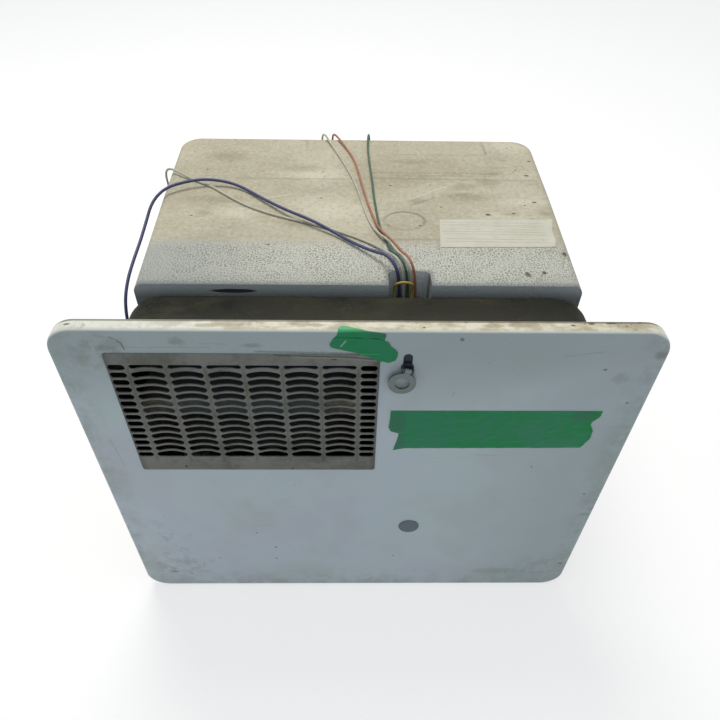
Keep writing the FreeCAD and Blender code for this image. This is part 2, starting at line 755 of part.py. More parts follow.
def flue_tube():
    """The hairpin through the water: in below, round at the back and out above."""
    start = pan_inside - FLUE_LIP
    legs = [Vector(FLUE_X, start, flue_low), Vector(FLUE_X, flue_end, flue_low),
            Vector(FLUE_X, flue_end, flue_high), Vector(FLUE_X, start, flue_high)]
    outer = hairpin(legs, FLUE_RADIUS)
    inner = hairpin(legs, FLUE_RADIUS - FLUE_WALL)
    save("flue_tube", outer.cut(inner))


def hairpin(legs, radius):
    """Two parallel straight bars joined by a half ring."""
    straight = [Part.makeLine(legs[0], legs[1]), Part.makeLine(legs[2], legs[3])]
    turn = Part.Arc(legs[1], (legs[1] + legs[2]) / 2 + INWARD * FLUE_LEG, legs[2]).toShape()
    wire = Part.Wire([straight[0], turn, straight[1]])
    return swept(wire, legs[0], INWARD, radius)


def flue_box():
    """The bent sheet box that carries the exhaust to the grille, open in front under a band."""
    x0, x1, z0, z1 = FLUE_BOX_LEFT, FLUE_BOX_RIGHT, FLUE_BOX_BOTTOM, FLUE_BOX_TOP
    y0 = FLUE_BOX_FRONT
    s = FLUE_BOX_SHEET
    outer = box(x0, x1, y0, pan_inside, z0, z1)
    outer = outer.makeFillet(FLUE_BOX_BEND, [e for e in outer.Edges if runs_along(e, INWARD)])
    inner = box(x0 + s, x1 - s, y0 + s, pan_inside - s, z0 + s, z1 - s)
    inner = inner.makeFillet(FLUE_BOX_BEND - s, [e for e in inner.Edges if runs_along(e, INWARD)])
    mouth = box(x0 + s, x1 - s, y0 - 1, y0 + 2 * s, z0 + s, z1 - FLUE_BOX_BAND)
    outlet = rod(Vector(FLUE_X, pan_inside - 2 * s, flue_high), INWARD, FLUE_RADIUS + WELD_GAP * 4, 3 * s)
    save("flue_box", outer.cut([inner, mouth, outlet]))


def burner():
    """The burner tube with its air slots, the clamp that carries it and the air shutter."""
    z = flue_low
    corner = Vector(FLUE_X, BURNER_Y, z)
    points = [Vector(BURNER_START, BURNER_Y, z), corner, Vector(FLUE_X, BURNER_REACH, z)]
    tube = pipe(points, BURNER_BEND, BURNER_RADIUS, BURNER_RADIUS - BURNER_WALL)
    slot_x = BURNER_START - AIR_SLOT_OFFSET - AIR_SLOT_LENGTH
    slots = []
    for turn in range(AIR_SLOT_COUNT // 2):
        slot = box(slot_x, slot_x + AIR_SLOT_LENGTH, -BURNER_RADIUS * 2, BURNER_RADIUS * 2,
                   -AIR_SLOT_WIDTH / 2, AIR_SLOT_WIDTH / 2)
        slot.rotate(Vector(0, 0, 0), ACROSS, 180 * turn * 2 / AIR_SLOT_COUNT)
        slot.translate(Vector(0, BURNER_Y, z))
        slots.append(slot)
    save("burner_tube", tube.cut(slots))
    inner = BURNER_RADIUS + SHUTTER_CLEARANCE
    shutter_x = BURNER_START - SHUTTER_OFFSET - SHUTTER_LENGTH
    sleeve = ring(Vector(shutter_x, BURNER_Y, z), ACROSS, inner + SHUTTER_WALL, inner, SHUTTER_LENGTH)
    top = z + inner + SHUTTER_WALL * 0.5
    tab = box(shutter_x, shutter_x + SHUTTER_LENGTH / 3, BURNER_Y - SHUTTER_WALL / 2,
              BURNER_Y + SHUTTER_WALL / 2, top, top + SHUTTER_TAB)
    save("air_shutter", sleeve.fuse(tab).cut(slots).removeSplitter())
    band_outer = BURNER_RADIUS + CLAMP_SHEET
    clamp = rod(Vector(CLAMP_X, BURNER_Y, z), ACROSS, band_outer, CLAMP_WIDTH)
    end_x = CLAMP_X + CLAMP_WIDTH
    top = z + CLAMP_SHEET / 2
    strut = box(CLAMP_X, end_x, BURNER_Y, pan_inside, z - CLAMP_SHEET / 2, top)
    foot = box(CLAMP_X, end_x, pan_inside - CLAMP_SHEET, pan_inside, z - band_outer, top)
    hole = rod(Vector(CLAMP_X - 1, BURNER_Y, z), ACROSS, BURNER_RADIUS + WELD_GAP, CLAMP_WIDTH + 2)
    save("burner_clamp", clamp.fuse([strut, foot]).cut(hole).removeSplitter())


def gas_line():
    """Valve block, coils, bracket, jet holder, flare fitting and the grommet for the supply pipe."""
    x0 = VALVE_LEFT
    x1 = x0 + VALVE_WIDTH
    y0 = BURNER_Y - VALVE_DEPTH / 2
    y1 = BURNER_Y + VALVE_DEPTH / 2
    z1 = VALVE_BOTTOM + VALVE_HEIGHT
    block = box(x0, x1, y0, y1, VALVE_BOTTOM, z1)
    block = block.makeChamfer(VALVE_CHAMFER, [e for e in block.Edges if runs_along(e, UP)])
    cap_centre = Vector((x0 + x1) / 2, y0 - REGULATOR_HEIGHT, flue_low)
    cap = rod(cap_centre, INWARD, REGULATOR_RADIUS, REGULATOR_HEIGHT)
    cap = cap.makeFillet(2, edges_at_y(cap, y0 - REGULATOR_HEIGHT))
    save("gas_valve", block.fuse(cap).removeSplitter())
    coils = []
    for side in (-1, 1):
        x = (x0 + x1) / 2 + side * COIL_PITCH / 2
        coil = rod(Vector(x, BURNER_Y, z1), UP, COIL_RADIUS, COIL_HEIGHT)
        rim = [e for e in coil.Edges if abs(e.BoundBox.ZMin - z1 - COIL_HEIGHT) < 1e-4]
        coil = coil.makeFillet(COIL_ROUND, rim)
        stem = hexagon(Vector(x, BURNER_Y, z1 + COIL_HEIGHT), UP, COIL_STEM * 2, COIL_CAP)
        coils.append(coil.fuse(stem))
    save("valve_coils", *coils)
    s = VALVE_BRACKET_SHEET
    left = x0 + VALVE_CHAMFER
    right = x1 - VALVE_CHAMFER
    low = VALVE_BOTTOM - s
    leg = box(left, right, y0 + VALVE_CHAMFER, pan_inside, low, VALVE_BOTTOM)
    back = box(left, right, pan_inside - s, pan_inside, low, VALVE_BOTTOM + VALVE_HEIGHT / 2)
    save("valve_bracket", leg.fuse(back).removeSplitter())
    holder_x = BURNER_START + ORIFICE_GAP
    tip_x = BURNER_START - ORIFICE_ENTRY
    body = rod(Vector(holder_x, BURNER_Y, flue_low), ACROSS, ORIFICE_RADIUS, x0 - holder_x)
    tip = rod(Vector(tip_x, BURNER_Y, flue_low), ACROSS, ORIFICE_TIP, holder_x - tip_x)
    bore = rod(Vector(tip_x - 1, BURNER_Y, flue_low), ACROSS, ORIFICE_BORE, x0 - tip_x)
    save("gas_jet", body.fuse(tip).cut(bore))
    hexed = hexagon(Vector(x1, BURNER_Y, GAS_Z), ACROSS, FLARE_HEX, FLARE_HEX_LENGTH)
    x2 = x1 + FLARE_HEX_LENGTH
    thread = rod(Vector(x2, BURNER_Y, GAS_Z), ACROSS, FLARE_RADIUS, FLARE_LENGTH)
    seat = Vector(x2 + FLARE_LENGTH, BURNER_Y, GAS_Z)
    cone = Part.makeCone(FLARE_RADIUS, FLARE_BORE + 0.5, FLARE_CONE, seat, ACROSS)
    depth = FLARE_HEX_LENGTH + FLARE_LENGTH + FLARE_CONE
    bore = rod(Vector(x1 + 2, BURNER_Y, GAS_Z), ACROSS, FLARE_BORE, depth)
    save("gas_inlet", hexed.fuse([thread, cone]).cut(bore))
    wall = pan_half - PAN_SHEET
    lip = GROMMET_LIP_LENGTH
    inside_lip = rod(Vector(wall - lip, BURNER_Y, GAS_Z), ACROSS, PIPE_GROMMET_LIP, lip)
    outside_lip = rod(Vector(pan_half, BURNER_Y, GAS_Z), ACROSS, PIPE_GROMMET_LIP, lip)
    neck = rod(Vector(wall, BURNER_Y, GAS_Z), ACROSS, PIPE_GROMMET_NECK - WELD_GAP, PAN_SHEET)
    bore = rod(Vector(wall - 2 * lip, BURNER_Y, GAS_Z), ACROSS, PIPE_GROMMET_BORE, PAN_SHEET + 4 * lip)
    relieved = 2 * lip + PAN_SHEET + GROMMET_RELIEF_MARGIN
    relief = rod(Vector(wall - 2 * lip, BURNER_Y, GAS_Z), ACROSS, GROMMET_RELIEF, relieved)
    save("pipe_grommet", neck.fuse([inside_lip, outside_lip]).cut([bore, relief]).removeSplitter())


def electrode():
    """Ceramic insulator with the spark wire bent into the flue's mouth, and its bracket."""
    y, z = ELECTRODE_Y, ELECTRODE_Z
    x1 = INSULATOR_LEFT + INSULATOR_LENGTH
    ceramic = rod(Vector(INSULATOR_LEFT, y, z), ACROSS, INSULATOR_RADIUS, INSULATOR_LENGTH)
    collar_x = INSULATOR_LEFT + INSULATOR_LENGTH / 3
    collar = rod(Vector(collar_x, y, z), ACROSS, INSULATOR_COLLAR, INSULATOR_LENGTH / 5)
    points = [Vector(INSULATOR_LEFT - 6, y, z), Vector(ELECTRODE_TIP_X, y, z),
              Vector(ELECTRODE_TIP_X, ELECTRODE_TIP_Y, z)]
    wire = pipe(points, ELECTRODE_BEND, ELECTRODE_WIRE, 0)
    hole = rod(Vector(INSULATOR_LEFT - 1, y, z), ACROSS, ELECTRODE_WIRE, INSULATOR_LENGTH + 2)
    save("spark_insulator", ceramic.fuse(collar).cut(hole).removeSplitter())
    save("spark_wire", wire)
    s = ELECTRODE_BRACKET
    start = INSULATOR_LEFT + INSULATOR_LENGTH * 0.65
    arm = box(start, start + s, y, pan_inside, z - INSULATOR_COLLAR, z + INSULATOR_COLLAR)
    eye = rod(Vector(start, y, z), ACROSS, INSULATOR_COLLAR, s)
    seat = rod(Vector(start - 1, y, z), ACROSS, INSULATOR_RADIUS + WELD_GAP, s + 2)
    foot = box(start - 10, start + s, pan_inside - s, pan_inside, z - INSULATOR_COLLAR, z + INSULATOR_COLLAR)
    save("electrode_bracket", arm.fuse([eye, foot]).cut(seat).removeSplitter())


def control_board():
    """Printed board on posts under a ribbed plastic cover."""
    x0, z0 = BOARD_LEFT, BOARD_BOTTOM
    x1, z1 = x0 + BOARD_WIDTH, z0 + BOARD_HEIGHT
    back = pan_inside - BOARD_STANDOFF
    board = box(x0, x1, back - BOARD_SHEET, back, z0, z1)
    posts = []
    for x in (x0 + BOARD_EDGE, x1 - BOARD_EDGE):
        for z in (z0 + BOARD_EDGE, z1 - BOARD_EDGE):
            posts.append(rod(Vector(x, back, z), INWARD, BOARD_POST, BOARD_STANDOFF))
    front = back - BOARD_SHEET
    left = x0 + RELAY_SIDE
    low = z0 + RELAY_LOW
    relay = box(left, left + RELAY_WIDTH, front - RELAY_DEPTH, front, low, low + RELAY_HEIGHT)
    left = x0 + IGNITION_SIDE
    low = z0 + IGNITION_LOW
    coil = box(left, left + IGNITION_WIDTH, front - IGNITION_DEPTH, front, low, low + IGNITION_HEIGHT)
    high = z1 - CONNECTOR_DROP
    connector = box(x0 + CONNECTOR_SIDE, x1 - CONNECTOR_SIDE, front - CONNECTOR_DEPTH, front,
                    high - CONNECTOR_HEIGHT, high)
    save("circuit_board", board.fuse(posts + [relay, coil, connector]))
    m = COVER_MARGIN
    y0 = pan_inside - COVER_DEPTH
    outer = plate(x0 - m, x1 + m, z0 - m, z1 + m, y0, pan_inside, COVER_CORNER)
    outer = outer.makeFillet(COVER_WALL, edges_at_y(outer, y0))
    w = m - COVER_WALL
    inner = plate(x0 - w, x1 + w, z0 - w, z1 + w, y0 + COVER_WALL, pan_inside + 1, COVER_CORNER - COVER_WALL)
    ribs = []
    for rib in range(COVER_RIBS):
        z = z0 + BOARD_HEIGHT * (rib + 1) / (COVER_RIBS + 1)
        ribs.append(box(x0 + m, x1 - m, y0 - COVER_RIB_PROUD, y0 + COVER_WALL / 2,
                        z - COVER_RIB / 2, z + COVER_RIB / 2))
    save("board_cover", outer.fuse(ribs).cut(inner).removeSplitter())


def relief_valve():
    """Brass relief valve with a test lever on a cross pin."""
    x, y, z = RELIEF_X, RELIEF_Y, RELIEF_Z
    low = z - RELIEF_BODY_LOW
    high = z + RELIEF_BODY_HIGH
    body = rod(Vector(x, y, low), UP, RELIEF_BODY, high - low)
    bonnet = rod(Vector(x, y, high), UP, RELIEF_BONNET, RELIEF_BONNET_HEIGHT)
    stem_foot = high + RELIEF_BONNET_HEIGHT
    stem = rod(Vector(x, y, stem_foot), UP, STEM_RADIUS, STEM_HEIGHT)
    hex_start = BOSS_FRONT - RELIEF_HEX_LENGTH
    hexed = hexagon(Vector(x, hex_start, z), INWARD, RELIEF_HEX, RELIEF_HEX_LENGTH)
    neck = rod(Vector(x, y, z), INWARD, RELIEF_NECK - WELD_GAP, BOSS_FRONT + RELIEF_ENTRY - y)
    outlet = rod(Vector(x, y, low - 1), UP, RELIEF_OUTLET, RELIEF_OUTLET_DEPTH + 1)
    pivot_z = stem_foot + LEVER_HEIGHT / 2 + LEVER_LIFT
    cross = rod(Vector(x - RELIEF_BODY, y, pivot_z), ACROSS, LEVER_PIN + WELD_GAP, 2 * RELIEF_BODY)
    save("relief_valve", body.fuse([bonnet, stem, hexed, neck]).cut([outlet, cross]).removeSplitter())
    reach = STEM_RADIUS + LEVER_GAP + LEVER_SHEET
    pin_half = reach + 1
    save("relief_pin", rod(Vector(x - pin_half, y, pivot_z), ACROSS, LEVER_PIN, 2 * pin_half))
    low_edge = pivot_z - LEVER_HEIGHT / 2
    outer = box(x - reach, x + reach, y - LEVER_LENGTH, y, low_edge, low_edge + LEVER_HEIGHT)
    nose = rod(Vector(x - reach, y, pivot_z), ACROSS, LEVER_HEIGHT / 2, 2 * reach)
    lever = outer.fuse(nose)
    gap = STEM_RADIUS + LEVER_GAP
    cavity = box(x - gap, x + gap, y - LEVER_LENGTH + LEVER_SHEET, y + LEVER_HEIGHT,
                 low_edge - 1, pivot_z + LEVER_HEIGHT)
    strap_y = y - STEM_RADIUS - LEVER_HEIGHT / 2
    strap = box(x - reach, x + reach, y - LEVER_LENGTH, strap_y, low_edge + LEVER_HEIGHT - LEVER_SHEET,
                low_edge + LEVER_HEIGHT)
    bore = rod(Vector(x - RELIEF_BODY, y, pivot_z), ACROSS, LEVER_PIN + LEVER_PIN_CLEARANCE, 2 * RELIEF_BODY)
    save("relief_lever", lever.cut(cavity).fuse(strap).cut(bore).removeSplitter())


def thermostats():
    """Two disc thermostats that touch the tank, with blades, and the cover over their window."""
    face = tank_y - tank_radius - SEAT_GAP
    discs = []
    for side in (-1, 1):
        x = THERMOSTAT_X + side * THERMOSTAT_PITCH / 2
        disc = rod(Vector(x, face - THERMOSTAT_DEPTH, tank_z), INWARD, THERMOSTAT_RADIUS, THERMOSTAT_DEPTH)
        blades = []
        back = face - THERMOSTAT_DEPTH
        for place in (x - BLADE_PITCH / 2, x + BLADE_PITCH / 2):
            blades.append(box(place - BLADE_SHEET / 2, place + BLADE_SHEET / 2, back - BLADE_LENGTH, back,
                              tank_z - BLADE_WIDTH / 2, tank_z + BLADE_WIDTH / 2))
        discs.append(disc.fuse(blades))
    save("thermostats", *discs)
    half = THERMOSTAT_WINDOW_WIDTH / 2 + THERMOSTAT_COVER_MARGIN
    rise = THERMOSTAT_WINDOW_HEIGHT / 2 + THERMOSTAT_COVER_MARGIN
    y0 = pan_inside - THERMOSTAT_COVER_DEPTH
    outer = plate(THERMOSTAT_X - half, THERMOSTAT_X + half, tank_z - rise, tank_z + rise, y0, pan_inside, 5)
    outer = outer.makeFillet(THERMOSTAT_COVER_FACE, edges_at_y(outer, y0))
    half -= THERMOSTAT_COVER_WALL
    rise -= THERMOSTAT_COVER_WALL
    inner = plate(THERMOSTAT_X - half, THERMOSTAT_X + half, tank_z - rise, tank_z + rise,
                  y0 + THERMOSTAT_COVER_FACE, pan_inside + 1, THERMOSTAT_COVER_MARGIN)
    save("thermostat_cover", outer.cut(inner))


def heating_element():
    """Screwed electric element, the box round its terminals, the box's cover and the switch."""
    x, z = ELEMENT_X, ELEMENT_Z
    head_y = BOSS_FRONT - ELEMENT_HEX_LENGTH
    head = hexagon(Vector(x, head_y, z), INWARD, ELEMENT_HEX, ELEMENT_HEX_LENGTH)
    plug = rod(Vector(x, BOSS_FRONT, z), INWARD, ELEMENT_PLUG - WELD_GAP, ELEMENT_ENTRY)
    legs = []
    end = BOSS_FRONT + ELEMENT_LENGTH
    half = ELEMENT_ROD_PITCH / 2
    root = BOSS_FRONT + ELEMENT_ENTRY / 2
    points = [Vector(x - half, root, z), Vector(x - half, end, z),
              Vector(x + half, end, z), Vector(x + half, root, z)]
    legs.append(Part.makeLine(points[0], points[1]))
    legs.append(Part.Arc(points[1], Vector(x, end + half, z), points[2]).toShape())
    legs.append(Part.makeLine(points[2], points[3]))
    loop = swept(Part.Wire(legs), points[0], INWARD, ELEMENT_ROD)
    terminals = []
    for side in (-1, 1):
        start = Vector(x + side * half, head_y - ELEMENT_TERMINAL_LENGTH, z)
        terminals.append(rod(start, INWARD, ELEMENT_TERMINAL, ELEMENT_TERMINAL_LENGTH))
    save("heating_element", head.fuse([plug, loop] + terminals).removeSplitter())
    w = ELEMENT_BOX_WIDTH / 2
    h = ELEMENT_BOX_HEIGHT / 2
    s = ELEMENT_BOX_SHEET
    y0 = pan_inside - ELEMENT_BOX_DEPTH
    outer = plate(x - w, x + w, z - h, z + h, y0, pan_inside, ELEMENT_BOX_CORNER)
    inner = plate(x - w + s, x + w - s, z - h + s, z + h - s, y0 - 1, pan_inside - s, ELEMENT_BOX_CORNER - s)
    hole = rod(Vector(x, pan_inside - 3, z), INWARD, ELEMENT_HEX / math.sqrt(3) + HOLE_CLEARANCE, 5)
    save("element_box", outer.cut([inner, hole]))
    lid = plate(x - w, x + w, z - h, z + h, y0 - s, y0, ELEMENT_BOX_CORNER)
    sx = x + SWITCH_OFFSET
    half = SWITCH_WIDTH / 2
    rise = SWITCH_HEIGHT / 2
    opening = box(sx - half, sx + half, y0 - s - 1, y0 + 1, z - rise, z + rise)
    screw_x = x + w - 10
    screw_hole = rod(Vector(screw_x, y0 - 2, z), INWARD, 1.6, 3)
    save("element_box_cover", lid.cut([opening, screw_hole]))
    shank = rod(Vector(screw_x, y0 - s, z), INWARD, 1.5, 8)
    head_y = y0 - s - COVER_SCREW_HEIGHT
    screw = rod(Vector(screw_x, head_y, z), INWARD, COVER_SCREW_RADIUS, COVER_SCREW_HEIGHT)
    save("cover_screw", screw.fuse(shank))
    power_switch(sx, z, y0 - s)


def power_switch(x, z, front):
    """Rocker switch in the cover: a frame with its body behind, and the rocker on its cross axis."""
    w = SWITCH_WIDTH / 2 - 0.1
    h = SWITCH_HEIGHT / 2 - 0.1
    bezel = box(x - w - SWITCH_BEZEL, x + w + SWITCH_BEZEL, front - SWITCH_BEZEL_DEPTH, front,
                z - h - SWITCH_BEZEL, z + h + SWITCH_BEZEL)
    body = box(x - w, x + w, front, front + SWITCH_BODY_DEPTH, z - h, z + h)
    pocket_w = w - 1
    pocket_h = h - 1
    pocket = box(x - pocket_w, x + pocket_w, front - SWITCH_BEZEL_DEPTH - 1, front + SWITCH_BODY_DEPTH / 2,
                 z - pocket_h, z + pocket_h)
    save("switch_frame", bezel.fuse(body).cut(pocket).removeSplitter())
    c = ROCKER_CLEARANCE
    half_w = pocket_w - c
    half_h = pocket_h - c - 0.4
    pivot = Vector(x - half_w, front + 1, z)
    face = box(x - half_w, x + half_w, front - ROCKER_PROUD, front + 3, z - half_h, z + half_h)
    scoop_y = front - ROCKER_PROUD - ROCKER_RADIUS + ROCKER_HOLLOW
    scoop = rod(Vector(x - half_w - 1, scoop_y, z), ACROSS, ROCKER_RADIUS, 2 * half_w + 2)
    rocker = face.cut(scoop)
    rocker.rotate(pivot, ACROSS, -ROCKER_TILT)
    save("switch_rocker", rocker)


def drain_plug():
    """Nylon plug in the tank's lowest front boss."""
    y0 = BOSS_FRONT - DRAIN_HEX_LENGTH
    head = hexagon(Vector(DRAIN_X, y0, DRAIN_Z), INWARD, DRAIN_HEX, DRAIN_HEX_LENGTH)
    plug = rod(Vector(DRAIN_X, BOSS_FRONT, DRAIN_Z), INWARD, DRAIN_RADIUS - WELD_GAP, DRAIN_PLUG_LENGTH)
    save("drain_plug", head.fuse(plug))


def water_nipples():
    """Hot and cold nipples screwed into the tank's rear bosses."""
    seat = foam_back + BOSS_BACK
    for name, z in (("hot_water_nipple", HOT_Z), ("cold_water_nipple", COLD_Z)):
        entry = rod(Vector(WATER_X, seat - WATER_ENTRY, z), INWARD, WATER_RADIUS - WELD_GAP, WATER_ENTRY)
        nut = hexagon(Vector(WATER_X, seat, z), INWARD, WATER_HEX, WATER_HEX_LENGTH)
        thread = rod(Vector(WATER_X, seat + WATER_HEX_LENGTH, z), INWARD, WATER_RADIUS, WATER_THREAD)
        length = WATER_ENTRY + WATER_HEX_LENGTH + WATER_THREAD
        bore = rod(Vector(WATER_X, seat - WATER_ENTRY - 1, z), INWARD, WATER_BORE, length + 2)
        save(name, entry.fuse([nut, thread]).cut(bore).removeSplitter())


def coolant_route():
    """Corners of the exchanger pipe: in at the back, along the tank's shoulder and out again."""
    run_y = foam_back - COOLANT_BACK_GAP
    distance = tank_radius + COOLANT_RADIUS + SEAT_GAP
    drop = math.sqrt(distance ** 2 - (run_y - tank_y) ** 2)
    z = tank_z - drop
    out = foam_back + COOLANT_OUT
    return [Vector(COOLANT_RIGHT, out, z), Vector(COOLANT_RIGHT, run_y, z),
            Vector(COOLANT_LEFT, run_y, z), Vector(COOLANT_LEFT, out, z)]


def coolant_pipe():
    """The heat exchanger's pipe, whose two ends stand out of the jacket's back."""
    bore = COOLANT_RADIUS - COOLANT_WALL
    tube = pipe(coolant_route(), COOLANT_BEND, COOLANT_RADIUS, bore)
    collars = []
    for end in (coolant_route()[0], coolant_route()[-1]):
        start = Vector(end.x, foam_back + SEAT_GAP, end.z)
        collars.append(ring(start, INWARD, COOLANT_COLLAR, bore, COOLANT_COLLAR_LENGTH))
    save("coolant_pipe", tube.fuse(collars).removeSplitter())


def jacket_block(y0, width0, y1, width1, corner):
    """A foam block between two depths, with rounded long edges and, given a radius, back corners."""
    corners = [Vector(width0 / 2, y0, FOAM_BOTTOM), Vector(width1 / 2, y1, FOAM_BOTTOM),
               Vector(-width1 / 2, y1, FOAM_BOTTOM), Vector(-width0 / 2, y0, FOAM_BOTTOM)]
    block = Part.Face(Part.makePolygon(corners + [corners[0]])).extrude(UP * FOAM_HEIGHT)
    if corner:
        upright = [e for e in block.Edges if runs_along(e, UP) and e.BoundBox.YMin > y1 - 1]
        block = block.makeFillet(corner, upright)
    rounded = []
    for edge in block.Edges:
        bounds = edge.BoundBox
        if bounds.ZLength < 1 and (bounds.YLength > 1 or (corner and bounds.YMin > y1 - 1)):
            rounded.append(edge)
    return block.makeFillet(FOAM_LONG_EDGE, rounded)


def foam_jacket():
    """The two moulded foam halves, hollow to the tank's shape."""
    cavity = drum(TANK_CLEARANCE)
    front = jacket_block(foam_front, FOAM_FRONT_WIDTH, foam_seam, FOAM_SEAM_WIDTH, 0)
    cuts = [cavity]
    start = foam_front - 1
    notch_back = foam_front + NOTCH_DEPTH
    notch = box(NOTCH_LEFT, NOTCH_RIGHT, start, notch_back, leads_z - NOTCH_UNDER_LEADS, foam_top + 1)
    corners = [e for e in notch.Edges if runs_along(e, UP) and e.BoundBox.YMin > foam_front]
    cuts.append(notch.makeFillet(6, corners))
    for z in (flue_low, flue_high):
        cuts.append(rod(Vector(FLUE_X, start, z), INWARD, FLUE_RADIUS + HOLE_CLEARANCE, FOAM_FRONT_DEPTH))
    for x, z, radius in front_bosses():
        hole = radius + BOSS_WALL + HOLE_CLEARANCE
        cuts.append(rod(Vector(x, start, z), INWARD, hole, FOAM_FRONT_DEPTH))
    cuts.append(thermostat_window(foam_front - 1, tank_y))
    save("foam_front", front.cut(cuts))
    rear = jacket_block(foam_seam, FOAM_SEAM_WIDTH, foam_back, FOAM_BACK_WIDTH, FOAM_BACK_CORNER)
    cuts = [cavity]
    for x, z, radius in rear_bosses():
        hole = radius + BOSS_WALL + HOLE_CLEARANCE
        cuts.append(rod(Vector(x, tank_y, z), INWARD, hole, foam_back + 2 - tank_y))
    route = coolant_route()
    groove = pipe(route, COOLANT_BEND, COOLANT_RADIUS + HOLE_CLEARANCE, 0)
    cuts.append(groove)
    save("foam_rear", rear.cut(cuts))


def leads_grommet():
    """Rubber plug in the pan's back wall that the leads come out of."""
    lip = LEADS_LIP_LENGTH
    inside = rod(Vector(LEADS_X, pan_inside - lip, leads_z), INWARD, LEADS_LIP, lip)
    neck = rod(Vector(LEADS_X, pan_inside, leads_z), INWARD, LEADS_NECK - WELD_GAP, PAN_SHEET)
    outside = rod(Vector(LEADS_X, PAN_DEPTH, leads_z), INWARD, LEADS_LIP, lip)
    save("leads_grommet", neck.fuse([inside, outside]).removeSplitter())


def latch_parts():
    """Strike on the flange, plate in the door, the stud with its ears and crossbar, pin and ring."""
    strike()
    x, z = LATCH_X, latch_z
    half = LATCH_PLATE_WIDTH / 2
    rise = LATCH_PLATE_HEIGHT / 2
    back = door_back + LATCH_PLATE_SHEET
    backing = plate(x - half, x + half, z - rise, z + rise, door_back, back, 3)
    bore = rod(Vector(x, door_back - 1, z), INWARD, SHANK_RADIUS + SHANK_CLEARANCE, 3)
    save("latch_plate", backing.cut(bore))
    front = door_front - HEAD_SHEET - SHANK_CLEARANCE
    head = rod(Vector(x, front, z), INWARD, HEAD_RADIUS, HEAD_SHEET)
    bar_back = flange_front - STRIKE_CLEARANCE
    shank = rod(Vector(x, front, z), INWARD, SHANK_RADIUS, bar_back - front)
    bar = obround(x, z, CROSSBAR_WIDTH, CROSSBAR_LENGTH, bar_back - CROSSBAR_SHEET, bar_back)
    pivot_y = front - RING_PIVOT_OUT
    neck_half = RING_NECK / 2
    ears = []
    for side in (-1, 1):
        inner = neck_half + EAR_GAP
        start = x + side * inner if side > 0 else x - inner - EAR_SHEET
        cheek = rod(Vector(start, pivot_y, z), ACROSS, CURL_RADIUS, EAR_SHEET)
        block = box(start, start + EAR_SHEET, pivot_y, front, z - CURL_RADIUS, z + CURL_RADIUS)
        ears += [cheek, block]
    hole = rod(Vector(x - 10, pivot_y, z), ACROSS, RING_PIN + WELD_GAP / 2, 20)
    shackle = head.fuse(ears).cut(hole)
    shackle.rotate(Vector(x, 0, z), INWARD, LATCH_TILT)
    save("latch_stud", shackle.fuse([shank, bar]).removeSplitter())
    washer_y = back + SHANK_CLEARANCE
    washer_bore = SHANK_RADIUS + WELD_GAP / 2
    washer = ring(Vector(x, washer_y, z), INWARD, HEAD_RADIUS, washer_bore, WASHER_SHEET)
    save("latch_washer", washer)
    pin_half = neck_half + EAR_GAP + EAR_SHEET + 0.4
    pin = rod(Vector(x - pin_half, pivot_y, z), ACROSS, RING_PIN, 2 * pin_half)
    pin.rotate(Vector(x, 0, z), INWARD, LATCH_TILT)
    save("latch_pin", pin)
    curl = rod(Vector(x - neck_half, pivot_y, z), ACROSS, CURL_RADIUS, RING_NECK)
    disc = rod(Vector(x, pivot_y - RING_SHEET / 2, z - RING_DROP), INWARD, RING_RADIUS, RING_SHEET)
    neck = box(x - neck_half, x + neck_half, pivot_y - RING_SHEET / 2, pivot_y + RING_SHEET / 2,
               z - RING_DROP + RING_HOLE, z)
    eye = rod(Vector(x, pivot_y - 5, z - RING_DROP), INWARD, RING_HOLE, 10)
    bore = rod(Vector(x - 10, pivot_y, z), ACROSS, RING_PIN + RING_PIN_CLEARANCE, 20)
    pull = disc.fuse([neck, curl]).cut([eye, bore]).removeSplitter()
    pull.rotate(Vector(x, 0, z), INWARD, LATCH_TILT)
    save("latch_ring", pull)


def strike():
    """A raised keyhole bracket on the flange, behind which the stud's crossbar turns."""
    x, z = LATCH_X, latch_z
    span = STRIKE_SPAN / 2
    s = STRIKE_SHEET
    front = flange_front - STRIKE_RAISE - s
    low = pan_top + STRIKE_CLEARANCE
    high = z + STRIKE_RISE
    bridge = box(x - span - s, x + span + s, front, front + s, z - STRIKE_RISE, high)
    walls = []
    for side in (-1, 1):
        inner = x + side * span
        outer = inner + side * s
        foot = outer + side * STRIKE_FOOT
        walls.append(box(min(inner, outer), max(inner, outer), front, flange_front, low, high))
        walls.append(box(min(outer, foot), max(outer, foot), flange_front - s, flange_front, low, high))
    slot = obround(x, z, CROSSBAR_WIDTH + 2 * STRIKE_CLEARANCE, CROSSBAR_LENGTH + 2 * STRIKE_CLEARANCE,
                   front - 1, front + s + 0.5)
    save("latch_strike", bridge.fuse(walls).cut(slot).removeSplitter())


def lead(name, route, radius):
    """One loose lead along a route of points chosen by hand, with every bend as large as its runs allow."""
    points = [Vector(*p) for p in route]
    radii = []

    def widest(shorter, half_turn):
        radii.append(0.45 * shorter / math.tan(half_turn))
        return radii[-1]

    wire = path(points, widest)
    solid = swept(wire, points[0], points[1] - points[0], radius)
    share = solid.Volume / (math.pi * radius ** 2 * wire.Length)
    print(name, "length", round(wire.Length), "least bend", round(min(radii), 1))
    print(name, "volume over section times length", round(share, 4))
    save(name, solid)


EXIT_Y = PAN_DEPTH + LEADS_LIP_LENGTH

